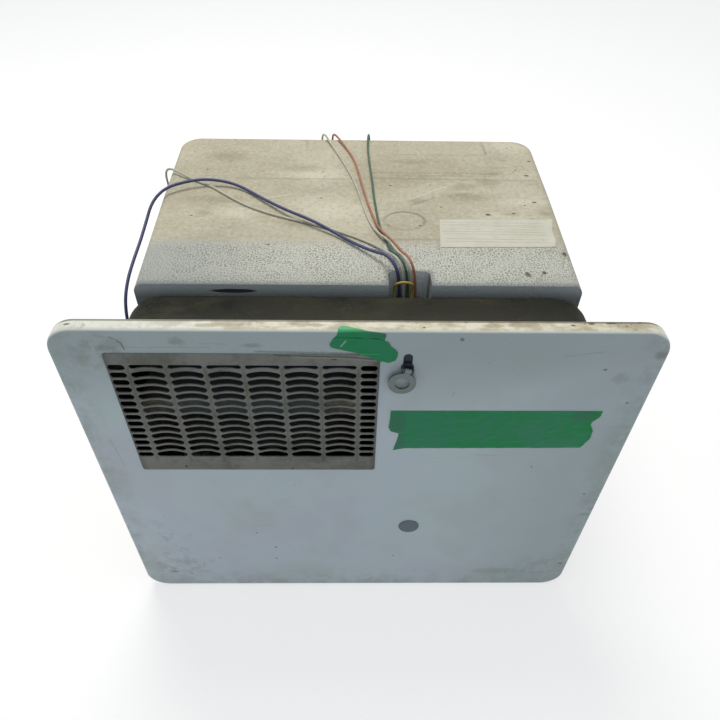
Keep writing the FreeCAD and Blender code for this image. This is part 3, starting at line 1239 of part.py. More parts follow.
BLUE_ROUTE = [
    (36, EXIT_Y, 302), (36, 94.8, 302), (36, 99.7, 304.6), (35.9, 102.8, 309.3), (35.7, 103.7, 317),
    (34.8, 103.7, 328), (33, 103.6, 338), (28.8, 109, 344.6), (23, 117.5, 345.6), (16.5, 126.5, 341.5),
    (5, 139, 338), (-9, 153, 336.6), (-25, 168, 337.6), (-46, 183, 340.8), (-70, 202, 339.4),
    (-97, 230, 336.8), (-117, 251, 336.6), (-135, 259.5, 338.8), (-158, 260.5, 341), (-179, 253, 340.8),
    (-195, 240.5, 340.5), (-206, 226, 333.5), (-210, 206, 322), (-212, 182, 315), (-214, 158, 310),
    (-216, 136, 303), (-217, 118, 291), (-217, 109, 268), (-216, 104, 236), (-214, 102, 200),
    (-213, 102, 168),
]
WHITE_LEFT_ROUTE = [
    (40, EXIT_Y, 298), (40, 94.8, 298), (40, 99.3, 300.6), (39.9, 102.3, 305), (39.7, 103.6, 312),
    (39, 103.7, 325), (37.3, 103.7, 337), (34.8, 108.5, 343.4), (31, 117, 344.4), (27.8, 126, 340.4),
    (23, 137.5, 336.8), (13, 149, 335.6), (-2, 160.5, 335.3), (-21, 172, 335.3), (-42, 183, 335.3),
    (-64, 192, 335.3), (-90, 204, 335.4), (-114, 219.5, 335.3), (-134, 239, 335.3), (-152, 257, 335.3),
    (-170, 268, 335.3), (-187, 280, 337.5), (-201, 291, 337.5), (-208, 298, 328), (-208.5, 302, 310),
    (-208, 303, 284), (-207.5, 302, 250), (-208, 300, 212), (-207, 299, 176),
]
GREEN_ROUTE = [
    (43.5, EXIT_Y, 303), (43.5, 94.8, 303), (43.5, 99.3, 305.6), (43.4, 102.3, 310), (43.1, 103.6, 317),
    (42.2, 103.7, 328), (40.6, 103.7, 338), (37.8, 108.5, 344.4), (34, 117, 345.4), (31.2, 126, 341.3),
    (29, 137, 337.4), (26.2, 150, 335.6), (23.4, 163, 335.3), (20.4, 179, 335.3), (18, 204, 335.3),
    (16, 238, 335.3), (15, 274, 335.3), (13, 310, 335.3), (12, 345, 335.3), (12.5, 369, 337.5),
    (14, 383, 336.5), (15, 389, 327), (15, 391, 309), (14, 391, 280), (13, 390, 244), (14, 389, 206),
    (14, 389, 172),
]
WHITE_BACK_ROUTE = [
    (47, EXIT_Y, 298), (47, 94.8, 298), (47, 99.3, 300.6), (46.9, 102.3, 305), (46.7, 103.6, 312),
    (46, 103.7, 325), (44.2, 103.7, 337.6), (41.2, 108.5, 344.2), (37.4, 117, 345.4), (34.7, 126.5, 341.8),
    (32.4, 137, 339), (29.6, 146, 338.8), (24.5, 154.5, 338.8), (18.5, 165, 337.2), (13.2, 180, 335.4),
    (7, 206, 335.3), (2.5, 236, 335.3), (-3.5, 270, 335.3), (-12, 302, 335.3), (-22, 334, 335.3),
    (-31, 359, 337), (-38, 377, 339), (-41, 388.5, 330), (-41, 391.5, 312), (-41, 391, 284),
    (-40, 390, 248), (-41, 389, 214),
]
ORANGE_ROUTE = [
    (50.5, EXIT_Y, 303), (50.5, 94.8, 303), (50.5, 99.3, 305.6), (50.4, 102.3, 310), (50.1, 103.6, 317),
    (49.2, 103.7, 328), (47.4, 103.7, 338), (44.8, 108.5, 344.4), (41.6, 117, 345.4), (38.8, 126.5, 341.5),
    (35.6, 138, 339.3), (31.2, 148.5, 339.2), (25.6, 158, 339.4), (21, 169, 338.2), (17.3, 183, 335.8),
    (13, 204, 335.3), (8, 234, 335.3), (4, 264, 335.3), (0.5, 293, 335.3), (-4, 321, 335.3),
    (-12, 346, 335.3), (-20, 365, 337.5), (-27, 380, 338), (-29, 389, 328), (-29, 391.5, 310),
    (-28, 391, 282), (-27, 390, 250), (-28, 389, 218), (-29, 389, 190),
]
EARTH_ROUTE = [
    (46.5, EXIT_Y, 309.9), (46.5, 93.7, 309.9), (46.5, 97.3, 312), (46.5, 99.4, 315.6), (46.5, 99.4, 322),
    (46.5, 96.4, 328.1), (44.4, 94.6, 331.2), (40.8, 93.6, 333), (36.7, 93.6, 333), (33.1, 94.6, 331.2),
    (31, 96.4, 328.1), (31, 99.4, 322), (31, 99.4, 315.6), (31, 97.3, 312), (31, 93.7, 309.9),
    (31, EXIT_Y, 309.9),
]


def leads():
    """Five long leads over the jacket's top and one short earth lead that returns to the grommet."""
    lead("lead_blue", BLUE_ROUTE, THICK_LEAD)
    lead("lead_white_left", WHITE_LEFT_ROUTE, THIN_LEAD)
    lead("lead_green", GREEN_ROUTE, THIN_LEAD)
    lead("lead_white_back", WHITE_BACK_ROUTE, THIN_LEAD)
    lead("lead_orange", ORANGE_ROUTE, THIN_LEAD)
    lead("lead_earth", EARTH_ROUTE, THIN_LEAD)


control_box()
foam_jacket()
tank()
flue_tube()
flue_box()
burner()
gas_line()
electrode()
control_board()
relief_valve()
thermostats()
heating_element()
drain_plug()
water_nipples()
coolant_pipe()
leads_grommet()
door_panel()
exhaust_grille()
door_plug()
hinge_parts()
latch_parts()
leads()
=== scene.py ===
import json
import math

import bpy
from mathutils import Matrix, Vector
from mathutils.noise import noise as wave_at


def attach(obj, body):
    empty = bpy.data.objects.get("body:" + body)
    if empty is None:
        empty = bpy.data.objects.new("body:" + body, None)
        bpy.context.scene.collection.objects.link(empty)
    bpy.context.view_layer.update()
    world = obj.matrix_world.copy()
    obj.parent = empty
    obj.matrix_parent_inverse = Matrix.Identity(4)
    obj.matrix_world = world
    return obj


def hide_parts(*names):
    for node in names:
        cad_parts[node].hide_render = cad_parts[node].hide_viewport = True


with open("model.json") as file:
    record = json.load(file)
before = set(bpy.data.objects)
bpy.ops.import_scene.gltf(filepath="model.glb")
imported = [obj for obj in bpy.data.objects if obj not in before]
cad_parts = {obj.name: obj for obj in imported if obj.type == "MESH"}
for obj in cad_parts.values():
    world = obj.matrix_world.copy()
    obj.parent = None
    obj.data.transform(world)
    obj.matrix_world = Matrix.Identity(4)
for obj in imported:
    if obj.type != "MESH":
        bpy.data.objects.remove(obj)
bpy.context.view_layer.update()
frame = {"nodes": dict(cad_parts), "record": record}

nodes = frame["nodes"]
scene = bpy.context.scene


# Camera

camera_data = bpy.data.cameras.new("camera")
camera_data.lens = 31.9732
camera_data.sensor_width = 36.0
camera_data.shift_y = 0.05556
camera_data.clip_start = 0.01
camera = bpy.data.objects.new("camera", camera_data)
camera.location = (-0.01027214, -0.36181499, 0.65877679)
camera.rotation_euler = [math.radians(a) for a in (43.98793313, -0.95206118, -0.65809255)]
scene.collection.objects.link(camera)
scene.camera = camera


# Material words: most add one node to the tree of the sockets they are given, and return its output

def add(kind, *values):
    tree = next(v.id_data for v in values if isinstance(v, bpy.types.NodeSocket))
    return tree.nodes.new(kind)


def join(value, socket):
    """Links an output to a socket, or writes a plain value on it."""
    if isinstance(value, bpy.types.NodeSocket):
        socket.id_data.links.new(value, socket)
    else:
        socket.default_value = value


def noise(place, scale, detail=4.0, roughness=0.5, twist=0.0):
    made = add("ShaderNodeTexNoise", place)
    join(place, made.inputs["Vector"])
    join(scale, made.inputs["Scale"])
    made.inputs["Detail"].default_value = detail
    made.inputs["Roughness"].default_value = roughness
    made.inputs["Distortion"].default_value = twist
    return made.outputs["Fac"]


def cells(place, scale, smooth=0.0):
    made = add("ShaderNodeTexVoronoi", place)
    join(place, made.inputs["Vector"])
    join(scale, made.inputs["Scale"])
    if smooth:
        made.feature = "SMOOTH_F1"
        made.inputs["Smoothness"].default_value = smooth
    return made.outputs["Distance"]


def calc(operation, a, b=0.0, c=0.0, clamp=False):
    made = add("ShaderNodeMath", a, b, c)
    made.operation = operation
    made.use_clamp = clamp
    for value, socket in zip((a, b, c), made.inputs):
        join(value, socket)
    return made.outputs[0]


def times(a, b):
    return calc("MULTIPLY", a, b)


def most(a, b):
    return calc("MAXIMUM", a, b)


def less(share):
    return calc("SUBTRACT", 1.0, share)


def rise(value, low, high, start=0.0, end=1.0):
    """A soft step from start at low to end at high."""
    made = add("ShaderNodeMapRange", value)
    made.interpolation_type = "SMOOTHSTEP"
    join(value, made.inputs["Value"])
    join(low, made.inputs["From Min"])
    join(high, made.inputs["From Max"])
    join(start, made.inputs["To Min"])
    join(end, made.inputs["To Max"])
    return made.outputs["Result"]


def within(value, low, high, soft):
    """One between two bounds, with a soft step inside each."""
    return times(rise(value, low, low + soft), less(rise(value, high - soft, high)))


def tint(share, first, second):
    """First colour where the share is 0 and second where it is 1."""
    made = add("ShaderNodeMix", share)
    made.data_type = "RGBA"
    join(share, made.inputs["Factor"])
    join(first, made.inputs["A"])
    join(second, made.inputs["B"])
    return made.outputs["Result"]


def srgb(red, green, blue):
    """A colour as a paint chart gives it, 0 to 255, made linear."""
    out = []
    for value in (red, green, blue):
        v = value / 255.0
        out.append(v / 12.92 if v <= 0.04045 else ((v + 0.055) / 1.055) ** 2.4)
    return (*out, 1.0)


def coat(body, mask, strength, colour):
    """The body under a paint-chart colour where the mask is, at most as strong as given."""
    return tint(times(mask, strength), body, srgb(*colour))


def stretch(place, size=(1.0, 1.0, 1.0), turn=(0.0, 0.0, 0.0), shift=(0.0, 0.0, 0.0)):
    """The place scaled, turned and moved, for grain that runs one way."""
    made = add("ShaderNodeMapping", place)
    join(place, made.inputs["Vector"])
    made.inputs["Scale"].default_value = size
    made.inputs["Rotation"].default_value = turn
    made.inputs["Location"].default_value = shift
    return made.outputs["Vector"]


def split(place):
    made = add("ShaderNodeSeparateXYZ", place)
    join(place, made.inputs[0])
    return made.outputs


def between(operation, a, b=(0.0, 0.0, 0.0)):
    """Vector maths of two places, which gives a number for a dot product or a length."""
    made = add("ShaderNodeVectorMath", a, b)
    made.operation = operation
    join(a, made.inputs[0])
    join(b, made.inputs[1])
    return made.outputs["Value" if operation in ("DOT_PRODUCT", "LENGTH") else "Vector"]


def relief(height, depth, strength=1.0, under=None):
    """A normal bumped by a height in units of depth, in metres."""
    made = add("ShaderNodeBump", height)
    made.inputs["Strength"].default_value = strength
    made.inputs["Distance"].default_value = depth
    join(height, made.inputs["Height"])
    if under is not None:
        join(under, made.inputs["Normal"])
    return made.outputs["Normal"]


def facing_of(place):
    """The direction a surface faces, in the object's own frame."""
    return add("ShaderNodeTexCoord", place).outputs["Normal"]


def finish_of(name):
    """A new material, the place on the object, and the shader."""
    material = bpy.data.materials.new(name)
    material.use_nodes = True
    shader = material.node_tree.nodes["Principled BSDF"]
    return material, add("ShaderNodeTexCoord", shader.outputs[0]).outputs["Object"], shader


def dress(shader, body, rough, bump, gloss=0.5):
    """Colour, roughness, bump and the level of the gloss on a shader."""
    join(body, shader.inputs["Base Color"])
    join(rough, shader.inputs["Roughness"])
    join(bump, shader.inputs["Normal"])
    shader.inputs["Specular IOR Level"].default_value = gloss


# Effects that several materials share

def use(group, **values):
    """Places a shared effect in a material with its own values, and returns its outputs."""
    made = add("ShaderNodeGroup", *values.values())
    made.node_tree = group
    for key, value in values.items():
        join(value, made.inputs[key.capitalize()])
    return made.outputs


def cover_of(group, place, scale, cover):
    return use(group, place=place, scale=scale, cover=cover)["Mask"]


def effect(name, gives=("Mask",), **takes):
    """An empty group. It takes places, written as None, and numbers with a start value."""
    tree = bpy.data.node_groups.new(name, "ShaderNodeTree")
    for key, value in takes.items():
        kind = "NodeSocketVector" if value is None else "NodeSocketFloat"
        made = tree.interface.new_socket(key.capitalize(), in_out="INPUT", socket_type=kind)
        if value is not None:
            made.default_value = value
    for label in gives:
        tree.interface.new_socket(label, in_out="OUTPUT", socket_type="NodeSocketFloat")
    return tree, tree.nodes.new("NodeGroupInput").outputs, tree.nodes.new("NodeGroupOutput").inputs


def blotches():
    """Patches of grime: large clouds broken up by small ones."""
    tree, take, give = effect("blotches", place=None, scale=12.0, cover=0.5)
    large = noise(take["Place"], take["Scale"], 6.0, 0.62, 0.4)
    fine = noise(take["Place"], times(take["Scale"], 9.0), 4.0, 0.6)
    both = calc("MULTIPLY_ADD", fine, 0.35, large)
    edge = calc("SUBTRACT", 1.08, times(take["Cover"], 0.8))
    join(rise(both, edge, calc("ADD", edge, 0.28)), give["Mask"])
    return tree


def specks():
    """Small dark or pale flecks, scattered unevenly."""
    tree, take, give = effect("specks", place=None, scale=300.0, cover=0.3)
    dots = cells(take["Place"], take["Scale"])
    spread = noise(take["Place"], times(take["Scale"], 0.12), 3.0)
    size = calc("MULTIPLY_ADD", take["Cover"], rise(spread, 0.45, 0.72), 0.002)
    join(less(rise(dots, times(size, 0.5), size)), give["Mask"])
    return tree


def scratches():
    """Fine scratches in two directions over the XZ face."""
    tree, take, give = effect("scratches", place=None, scale=20.0, cover=0.5)
    found = None
    for turn, size in (((0.0, 0.35, 0.0), (0.12, 1.0, 3.4)), ((0.0, -0.9, 0.0), (0.10, 1.0, 2.6))):
        lines = noise(stretch(take["Place"], size, turn), take["Scale"], 2.0, 0.4, 0.2)
        near = calc("ABSOLUTE", calc("SUBTRACT", lines, 0.5))
        mark = less(rise(near, 0.0, 0.006))
        found = mark if found is None else most(found, mark)
    where = noise(take["Place"], times(take["Scale"], 0.7), 2.0)
    edge = calc("SUBTRACT", 0.75, times(take["Cover"], 0.35))
    join(times(found, rise(where, edge, calc("ADD", edge, 0.12))), give["Mask"])
    return tree


def spot():
    """A soft oval round a centre, with a ragged edge, and how far out of it a place lies."""
    tree, take, give = effect("spot", ("Mask", "Reach"), place=None, centre=None, half=None,
                              ragged=0.3, soft=0.3)
    away = between("SUBTRACT", take["Place"], take["Centre"])
    out = between("LENGTH", between("DIVIDE", away, take["Half"]))
    torn = calc("SUBTRACT", noise(take["Place"], 160.0, 4.0, 0.6), 0.5)
    reach = calc("MULTIPLY_ADD", torn, times(take["Ragged"], 2.4), out)
    join(less(rise(reach, less(take["Soft"]), 1.0)), give["Mask"])
    join(reach, give["Reach"])
    return tree


def stroke():
    """A line from start to end, as wide as twice its half, with a ragged edge."""
    tree, take, give = effect("stroke", place=None, start=None, end=None, half=0.001, ragged=0.3)
    away = between("SUBTRACT", take["Place"], take["Start"])
    run = between("SUBTRACT", take["End"], take["Start"])
    share = calc("DIVIDE", between("DOT_PRODUCT", away, run), between("DOT_PRODUCT", run, run), clamp=True)
    off = between("LENGTH", between("SUBTRACT", away, between("MULTIPLY", run, share)))
    torn = calc("SUBTRACT", noise(take["Place"], 220.0, 4.0, 0.6), 0.5)
    ratio = calc("MULTIPLY_ADD", torn, times(take["Ragged"], 4.0), calc("DIVIDE", off, take["Half"]))
    join(less(rise(ratio, 0.35, 1.0)), give["Mask"])
    return tree


def settled_dust():
    """Dust where a surface faces up."""
    tree, take, give = effect("settled dust", place=None, facing=None, scale=30.0)
    up = split(take["Facing"])["Z"]
    cloud = noise(take["Place"], take["Scale"], 5.0, 0.65)
    join(times(rise(up, 0.4, 0.95), rise(cloud, 0.3, 0.75)), give["Mask"])
    return tree


BLOTCHES = blotches()
SPECKS = specks()
SCRATCHES = scratches()
SPOT = spot()
STROKE = stroke()
DUST = settled_dust()


# Marks at measured places, in millimetres

DOOR_FACE = -13.0
DOOR_TOP = 367.8
GRILLE_FACE = -14.0
JACKET_TOP = 334.0


def metres(*values):
    return tuple(v / 1000 for v in values)


def spots(place, marks, ragged=0.3, soft=0.4):
    """The strongest of several soft ovals, each x, y, z, half x, half y, half z."""
    found = None
    for x, y, z, *half in marks:
        mark = use(SPOT, place=place, centre=metres(x, y, z), half=metres(*half), ragged=ragged,
                   soft=soft)["Mask"]
        found = mark if found is None else most(found, mark)
    return found


def strokes(place, marks, half, ragged=0.3):
    """The strongest of several lines, each x, y, z of its start and of its end."""
    found = None
    for x, y, z, *end in marks:
        mark = use(STROKE, place=place, start=metres(x, y, z), end=metres(*end), half=half / 1000,
                   ragged=ragged)["Mask"]
        found = mark if found is None else most(found, mark)
    return found


def on_face(deep, marks, face=DOOR_FACE):
    """Spots on the door's face, or on the grille's, each x, z, half x, half z."""
    return [(x, face, z, hx, deep, hz) for x, z, hx, hz in marks]


def lines_on_face(marks, face=DOOR_FACE):
    return [(x0, face, z0, x1, face, z1) for x0, z0, x1, z1 in marks]


def on_rim(deep, marks):
    """Spots on the door's top rim, each x, y, half x, half y."""
    return [(x, y, DOOR_TOP, hx, hy, deep) for x, y, hx, hy in marks]


def on_top(marks):
    """Spots on the jacket's top, each x, y, half x, half y."""
    return [(x, y, JACKET_TOP, hx, hy, 12) for x, y, hx, hy in marks]


def lines_on_top(marks):
    return [(x0, y0, JACKET_TOP, x1, y1, JACKET_TOP) for x0, y0, x1, y1 in marks]


# The finishes

def door_paint():
    """Cool white baked paint, darker towards its top and right with soot and painted shade, rubbed,
    scratched and chipped at its rim, with a painted highlight along the bend into the rim.
    """
    material, place, shader = finish_of("door_paint")
    at = split(place)
    facing = split(facing_of(place))
    cloud = noise(place, 5.0, 3.0, 0.5)
    body = tint(rise(cloud, 0.35, 0.65), srgb(201, 213, 224), srgb(198, 214, 218))
    violet = rise(noise(stretch(place, shift=(3.0, 1.0, 7.0)), 13.0, 3.0), 0.52, 0.68)
    body = coat(body, violet, 0.5, (197, 199, 214))
    green = rise(noise(stretch(place, shift=(8.0, 5.0, 2.0)), 11.0, 3.0), 0.52, 0.66)
    body = coat(body, green, 0.45, (186, 201, 197))
    # Darker towards the top and right: partly soot, partly painted shade.
    soot_and_painted_shade = most(rise(at["Z"], 0.270, 0.352), rise(at["X"], 0.06, 0.21, 0.0, 0.85))
    soot_and_painted_shade = times(soot_and_painted_shade, rise(noise(place, 16.0, 5.0, 0.6), 0.1, 0.6, 0.72, 1.0))
    body = coat(body, soot_and_painted_shade, 0.78, (166, 180, 181))
    grime = cover_of(BLOTCHES, place, 9.0, 0.4)
    body = coat(body, grime, 0.2, (150, 152, 146))

    side = rise(calc("ABSOLUTE", at["X"]), 0.195, 0.228)
    low = less(rise(at["Z"], 0.002, 0.045))
    edge = times(most(side, low), rise(noise(place, 55.0, 5.0, 0.7), 0.35, 0.7))
    corner = on_face(30, [(-196, 40, 46, 52), (206, 30, 44, 50), (-196, 345, 40, 30)])
    ragged = rise(noise(place, 70.0, 5.0, 0.7), 0.42, 0.62)
    edge = most(edge, times(spots(place, corner, 0.25, 0.9), ragged))
    body = coat(body, edge, 0.42, (122, 124, 112))

    smears = spots(place, on_face(20, [
        (-178, 354, 13, 8), (222, 345, 9, 6), (198, 322, 9, 7), (228, 148, 11, 4), (222, 139, 9, 3),
        (150, 30, 40, 9)]), 0.55, 0.7)
    body = coat(body, smears, 0.28, (118, 122, 118))
    handled = spots(place, on_face(20, [(-188, 96, 34, 52), (-170, 40, 50, 34)]), 0.2, 1.0)
    cloudy = rise(noise(stretch(place, shift=(1.0, 4.0, 9.0)), 75.0, 5.0, 0.7), 0.5, 0.66)
    body = coat(body, times(handled, cloudy), 0.38, (118, 126, 122))
    smudges = spots(place, on_face(9, [
        (-79, 353.5, 11, 3), (-133, 357, 10, 6), (-186, 350, 9, 5), (222, 346, 8, 6)]), 0.6, 0.9)
    body = coat(body, smudges, 0.42, (112, 108, 96))
    worn = strokes(place, lines_on_face([
        (-179.4, 360.9, -175.7, 358.5), (-175.7, 358.5, -172.5, 355), (-172.5, 355, -171.4, 348.8),
        (226, 334, 227, 312)]), 0.8, 0.55)
    body = coat(body, worn, 0.6, (74, 76, 72))
    rubbed = strokes(place, lines_on_face([
        (-169.5, 351.3, -109.7, 351.7), (-117, 355.3, -96, 354.6), (-190, 362, -180, 360.5),
        (150, 344, 178, 349), (-208, 250, -204, 214)]), 0.6, 0.7)
    body = coat(body, rubbed, 0.28, (116, 118, 114))
    shaded = strokes(place, lines_on_face([(-77, 347.6, -45, 347.0), (-45, 347.0, 10, 346.4)]), 1.3, 0.5)
    body = coat(body, shaded, 0.5, (100, 97, 88))
    dabs = spots(place, on_face(9, [
        (72, 360, 2.4, 2.2), (184, 331, 2.0, 1.6), (212, 295, 1.8, 1.6), (153, 213, 1.4, 1.4),
        (211, 172, 1.8, 1.4), (-100, 106, 1.5, 1.2), (-83, 79, 1.9, 1.4), (-84, 57, 1.6, 1.3),
        (-143, 58, 1.6, 1.3), (-196, 30, 4.0, 2.2), (-178, 26, 2.4, 1.2), (219, 46, 3.0, 2.0),
        (38, 62, 1.5, 1.2)]), 0.5, 0.5)
    body = coat(body, dabs, 0.7, (78, 82, 80))
    body = coat(body, cover_of(SCRATCHES, place, 16.0, 0.5), 0.28, (120, 126, 128))
    body = coat(body, cover_of(SPECKS, place, 150.0, 0.14), 0.5, (92, 92, 86))

    rim = rise(facing["Z"], 0.45, 0.85)
    body = tint(rim, body, rim_paint(place, at))
    # Painted highlight along the bend from the face into the top rim.
    bend = times(rise(facing["Z"], 0.3, 0.6), less(rise(facing["Z"], 0.8, 0.98)))
    body = coat(body, bend, 0.65, (240, 242, 234))

    dull = calc("MULTIPLY_ADD", grime, 0.18, calc("MULTIPLY_ADD", soot_and_painted_shade, 0.14, 0.36))
    wave = noise(place, 9.0, 2.0, 0.4)
    dent = spots(place, on_face(20, [(-181, 352, 12, 9), (-224, 112, 10, 22), (-168, 8, 14, 7)]), 0.1, 0.9)
    skin = relief(noise(place, 900.0, 2.0), 0.0002, 0.12)
    skin = relief(most(dabs, worn), 0.0004, 0.4, skin)
    dress(shader, body, dull, relief(calc("SUBTRACT", wave, dent), 0.004, 0.25, skin))
    return material


def rim_paint(place, at):
    """Yellowed paint of the door's top rim, whiter at its left, stained, chipped and black behind."""
    old = noise(stretch(place, (1.0, 2.0, 1.0)), 60.0, 6.0, 0.65)
    cream = tint(rise(old, 0.42, 0.66), srgb(226, 222, 202), srgb(196, 186, 154))
    white = less(rise(at["X"], -0.15, -0.06))
    cream = coat(cream, white, 0.8, (226, 228, 220))
    stains = rise(noise(place, 130.0, 5.0, 0.7), 0.58, 0.68)
    cream = coat(cream, stains, 0.6, (140, 126, 96))
    chips = rise(noise(place, 120.0, 5.0, 0.72), 0.61, 0.67)
    chips = times(chips, rise(at["X"], 0.1, 0.2, 0.1, 0.9))
    grimy = rise(noise(stretch(place, (1.0, 1.6, 1.0), shift=(5.0, 2.0, 0.0)), 42.0, 6.0, 0.7), 0.46, 0.62)
    grimy = times(grimy, rise(at["X"], -0.20, -0.08, 0.2, 0.7))
    cream = tint(grimy, cream, srgb(168, 158, 134))
    patches = spots(place, on_rim(4, [
        (-110, -8, 12, 3), (-98, -6.4, 9, 3), (-86.8, -6.8, 4, 2), (-49, -5.4, 4, 2), (-32, -6.9, 9, 2.5),
        (94, -7, 9, 3), (112, -6, 13, 3), (196, -6, 22, 5)]), 0.5, 0.5)
    cream = coat(cream, patches, 0.7, (166, 152, 126))
    black = spots(place, on_rim(3, [
        (165.4, -3.4, 3.4, 1.6), (180.5, -3.2, 4.6, 1.1), (201.5, -2.3, 3, 1.1), (215, -2.5, 2.6, 1.1),
        (152, -5.8, 1.8, 1.0), (160.9, -4, 1.4, 0.9), (44.3, -9.1, 1.4, 1.0), (-209, -7, 3, 1.2)]), 0.7, 0.4)
    cream = coat(cream, most(chips, black), 0.85, (48, 46, 42))
    behind = rise(at["Y"], -0.0042, -0.0028)
    return coat(cream, behind, 0.75, (58, 54, 44))


GRILLE_MIDDLE = 0.0875
GRILLE_JOINT = 0.173725
GRILLE_PITCH = 0.02865


def grille_paint():
    """Off-white paint gone grey and brown with soot, worn along the louvres."""
    material, place, shader = finish_of("grille_paint")
    at = split(place)
    soot = cover_of(BLOTCHES, place, 26.0, 0.6)
    flecks = cover_of(SPECKS, place, 420.0, 0.34)
    body = tint(noise(place, 40.0, 4.0), srgb(120, 124, 120), srgb(132, 133, 127))
    body = coat(body, less(rise(at["Z"], 0.210, 0.226)), 0.5, (116, 112, 98))
    body = coat(body, soot, 0.5, (86, 84, 74))
    across = calc("ADD", at["X"], GRILLE_MIDDLE)
    ends = rise(calc("ABSOLUTE", across), 0.094, 0.1012)
    rows = times(rise(at["Z"], 0.219, 0.224), less(rise(at["Z"], 0.330, 0.336)))
    turns = times(calc("ADD", at["X"], GRILLE_JOINT), math.pi / GRILLE_PITCH)
    joints = calc("ABSOLUTE", calc("SINE", turns))
    bars = times(less(rise(joints, 0.0, 0.3)), rows)
    body = coat(body, times(bars, noise(place, 190.0, 4.0, 0.7)), 0.9, (74, 70, 58))
    # Painted shade at the grille's left and right ends.
    body = coat(body, ends, 0.6, (70, 74, 72))
    body = coat(body, flecks, 0.5, (52, 49, 42))
    shade = lines_on_face([(-64, 345.0, -12, 343.6), (-12, 343.6, 13, 341.2)], GRILLE_FACE)
    body = coat(body, strokes(place, shade, 0.9, 0.2), 0.62, (52, 52, 46))
    glint = lines_on_face([(-50, 343.0, -12, 341.9), (-12, 341.9, 12, 339.8)], GRILLE_FACE)
    body = coat(body, strokes(place, glint, 0.7, 0.2), 0.5, (160, 160, 150))
    dabs = on_face(9, [(-150.3, 214.6, 1.7, 1.9), (-58, 211.5, 2.0, 0.8), (-20, 341, 3.0, 0.9)], GRILLE_FACE)
    body = coat(body, spots(place, dabs, 0.4, 0.5), 0.85, (40, 42, 40))
    bump = relief(noise(place, 700.0, 3.0), 0.0003, 0.3)
    dress(shader, body, calc("MULTIPLY_ADD", soot, 0.25, 0.5), bump, 0.35)
    return material


def pan_paint():
    """Dark paint under patches of olive and brown dirt."""
    material, place, shader = finish_of("pan_paint")
    at = split(place)
    facing = facing_of(place)
    dust = use(DUST, place=place, facing=facing, scale=34.0)["Mask"]
    earth = cover_of(BLOTCHES, place, 16.0, 0.5)
    rust = cover_of(BLOTCHES, stretch(place, shift=(2.0, 6.0, 1.0)), 22.0, 0.3)
    flecks = cover_of(SPECKS, place, 300.0, 0.24)
    body = tint(noise(place, 25.0, 4.0), srgb(22, 24, 22), srgb(32, 33, 30))
    body = coat(body, dust, 0.3, (58, 57, 49))
    across = calc("ABSOLUTE", calc("SUBTRACT", at["X"], 0.03))
    body = coat(body, less(rise(across, 0.06, 0.2)), 0.45, (58, 58, 46))
    patches = noise(stretch(place, (1.0, 1.6, 1.6)), 30.0, 5.0, 0.65)
    body = tint(rise(patches, 0.5, 0.68, 0.0, 0.5), body, srgb(64, 62, 48))
    body = tint(rise(patches, 0.46, 0.3, 0.0, 0.6), body, srgb(16, 18, 18))
    body = coat(body, earth, 0.4, (60, 58, 40))
    body = coat(body, rust, 0.4, (60, 48, 32))
    dusty = times(less(rise(at["Y"], 0.030, 0.072)), rise(split(facing)["Z"], 0.5, 0.9))
    body = coat(body, dusty, 0.5, (76, 76, 66))
    body = coat(body, flecks, 0.4, (104, 100, 84))
    bump = relief(noise(place, 260.0, 4.0), 0.0006, 0.35)
    dress(shader, body, calc("MULTIPLY_ADD", dust, 0.2, 0.62), bump, 0.1)
    return material


JACKET_FRONT = 0.088
NOTCH_LEFT = 0.025
NOTCH_RIGHT = 0.062
NOTCH_BACK = 0.109


def shaded_front(at, top, ahead, body):
    """The front block's skin greys toward its edge in painted shade, its face is painted lighter at its top
    and shaded below, and the leads' notch gets painted shade on its rim and sides and painted light on its
    back wall.
    """
    # Painted shade on the top where it rounds over into the front face.
    grey = (116, 123, 126)
    wide = times(less(rise(at["Y"], JACKET_FRONT + 0.001, JACKET_FRONT + 0.026)), top)
    body = coat(body, wide, 0.3, (146, 149, 146))
    front_edge_shade = times(less(rise(at["Y"], JACKET_FRONT - 0.0005, JACKET_FRONT + 0.0075)), top)
    body = coat(body, front_edge_shade, 0.72, grey)
    # Painted shade on the top round the leads' notch.
    notch_rim_shade = within(at["X"], NOTCH_LEFT - 0.0055, NOTCH_RIGHT + 0.0055, 0.0055)
    notch_rim_shade = times(notch_rim_shade, less(rise(at["Y"], NOTCH_BACK - 0.0005, NOTCH_BACK + 0.005)))
    body = coat(body, times(notch_rim_shade, top), 0.6, grey)
    # Painted light at the top of the front face, and painted shade below it.
    face = tint(rise(at["Z"], 0.318, 0.334), srgb(122, 130, 132), srgb(194, 204, 210))
    body = tint(times(ahead, 0.9), body, face)
    pocket = within(at["X"], NOTCH_LEFT - 0.0012, NOTCH_RIGHT + 0.0012, 0.0008)
    pocket = times(pocket, less(rise(at["Y"], NOTCH_BACK + 0.0004, NOTCH_BACK + 0.001)))
    # Painted light on the notch's back wall.
    back = times(times(pocket, ahead), rise(at["Y"], 0.092, 0.104))
    body = coat(body, back, 0.9, (228, 236, 240))
    # Painted shade on the notch's side walls.
    sides = times(pocket, times(less(ahead), less(top)))
    return coat(body, sides, 0.9, (124, 134, 140))


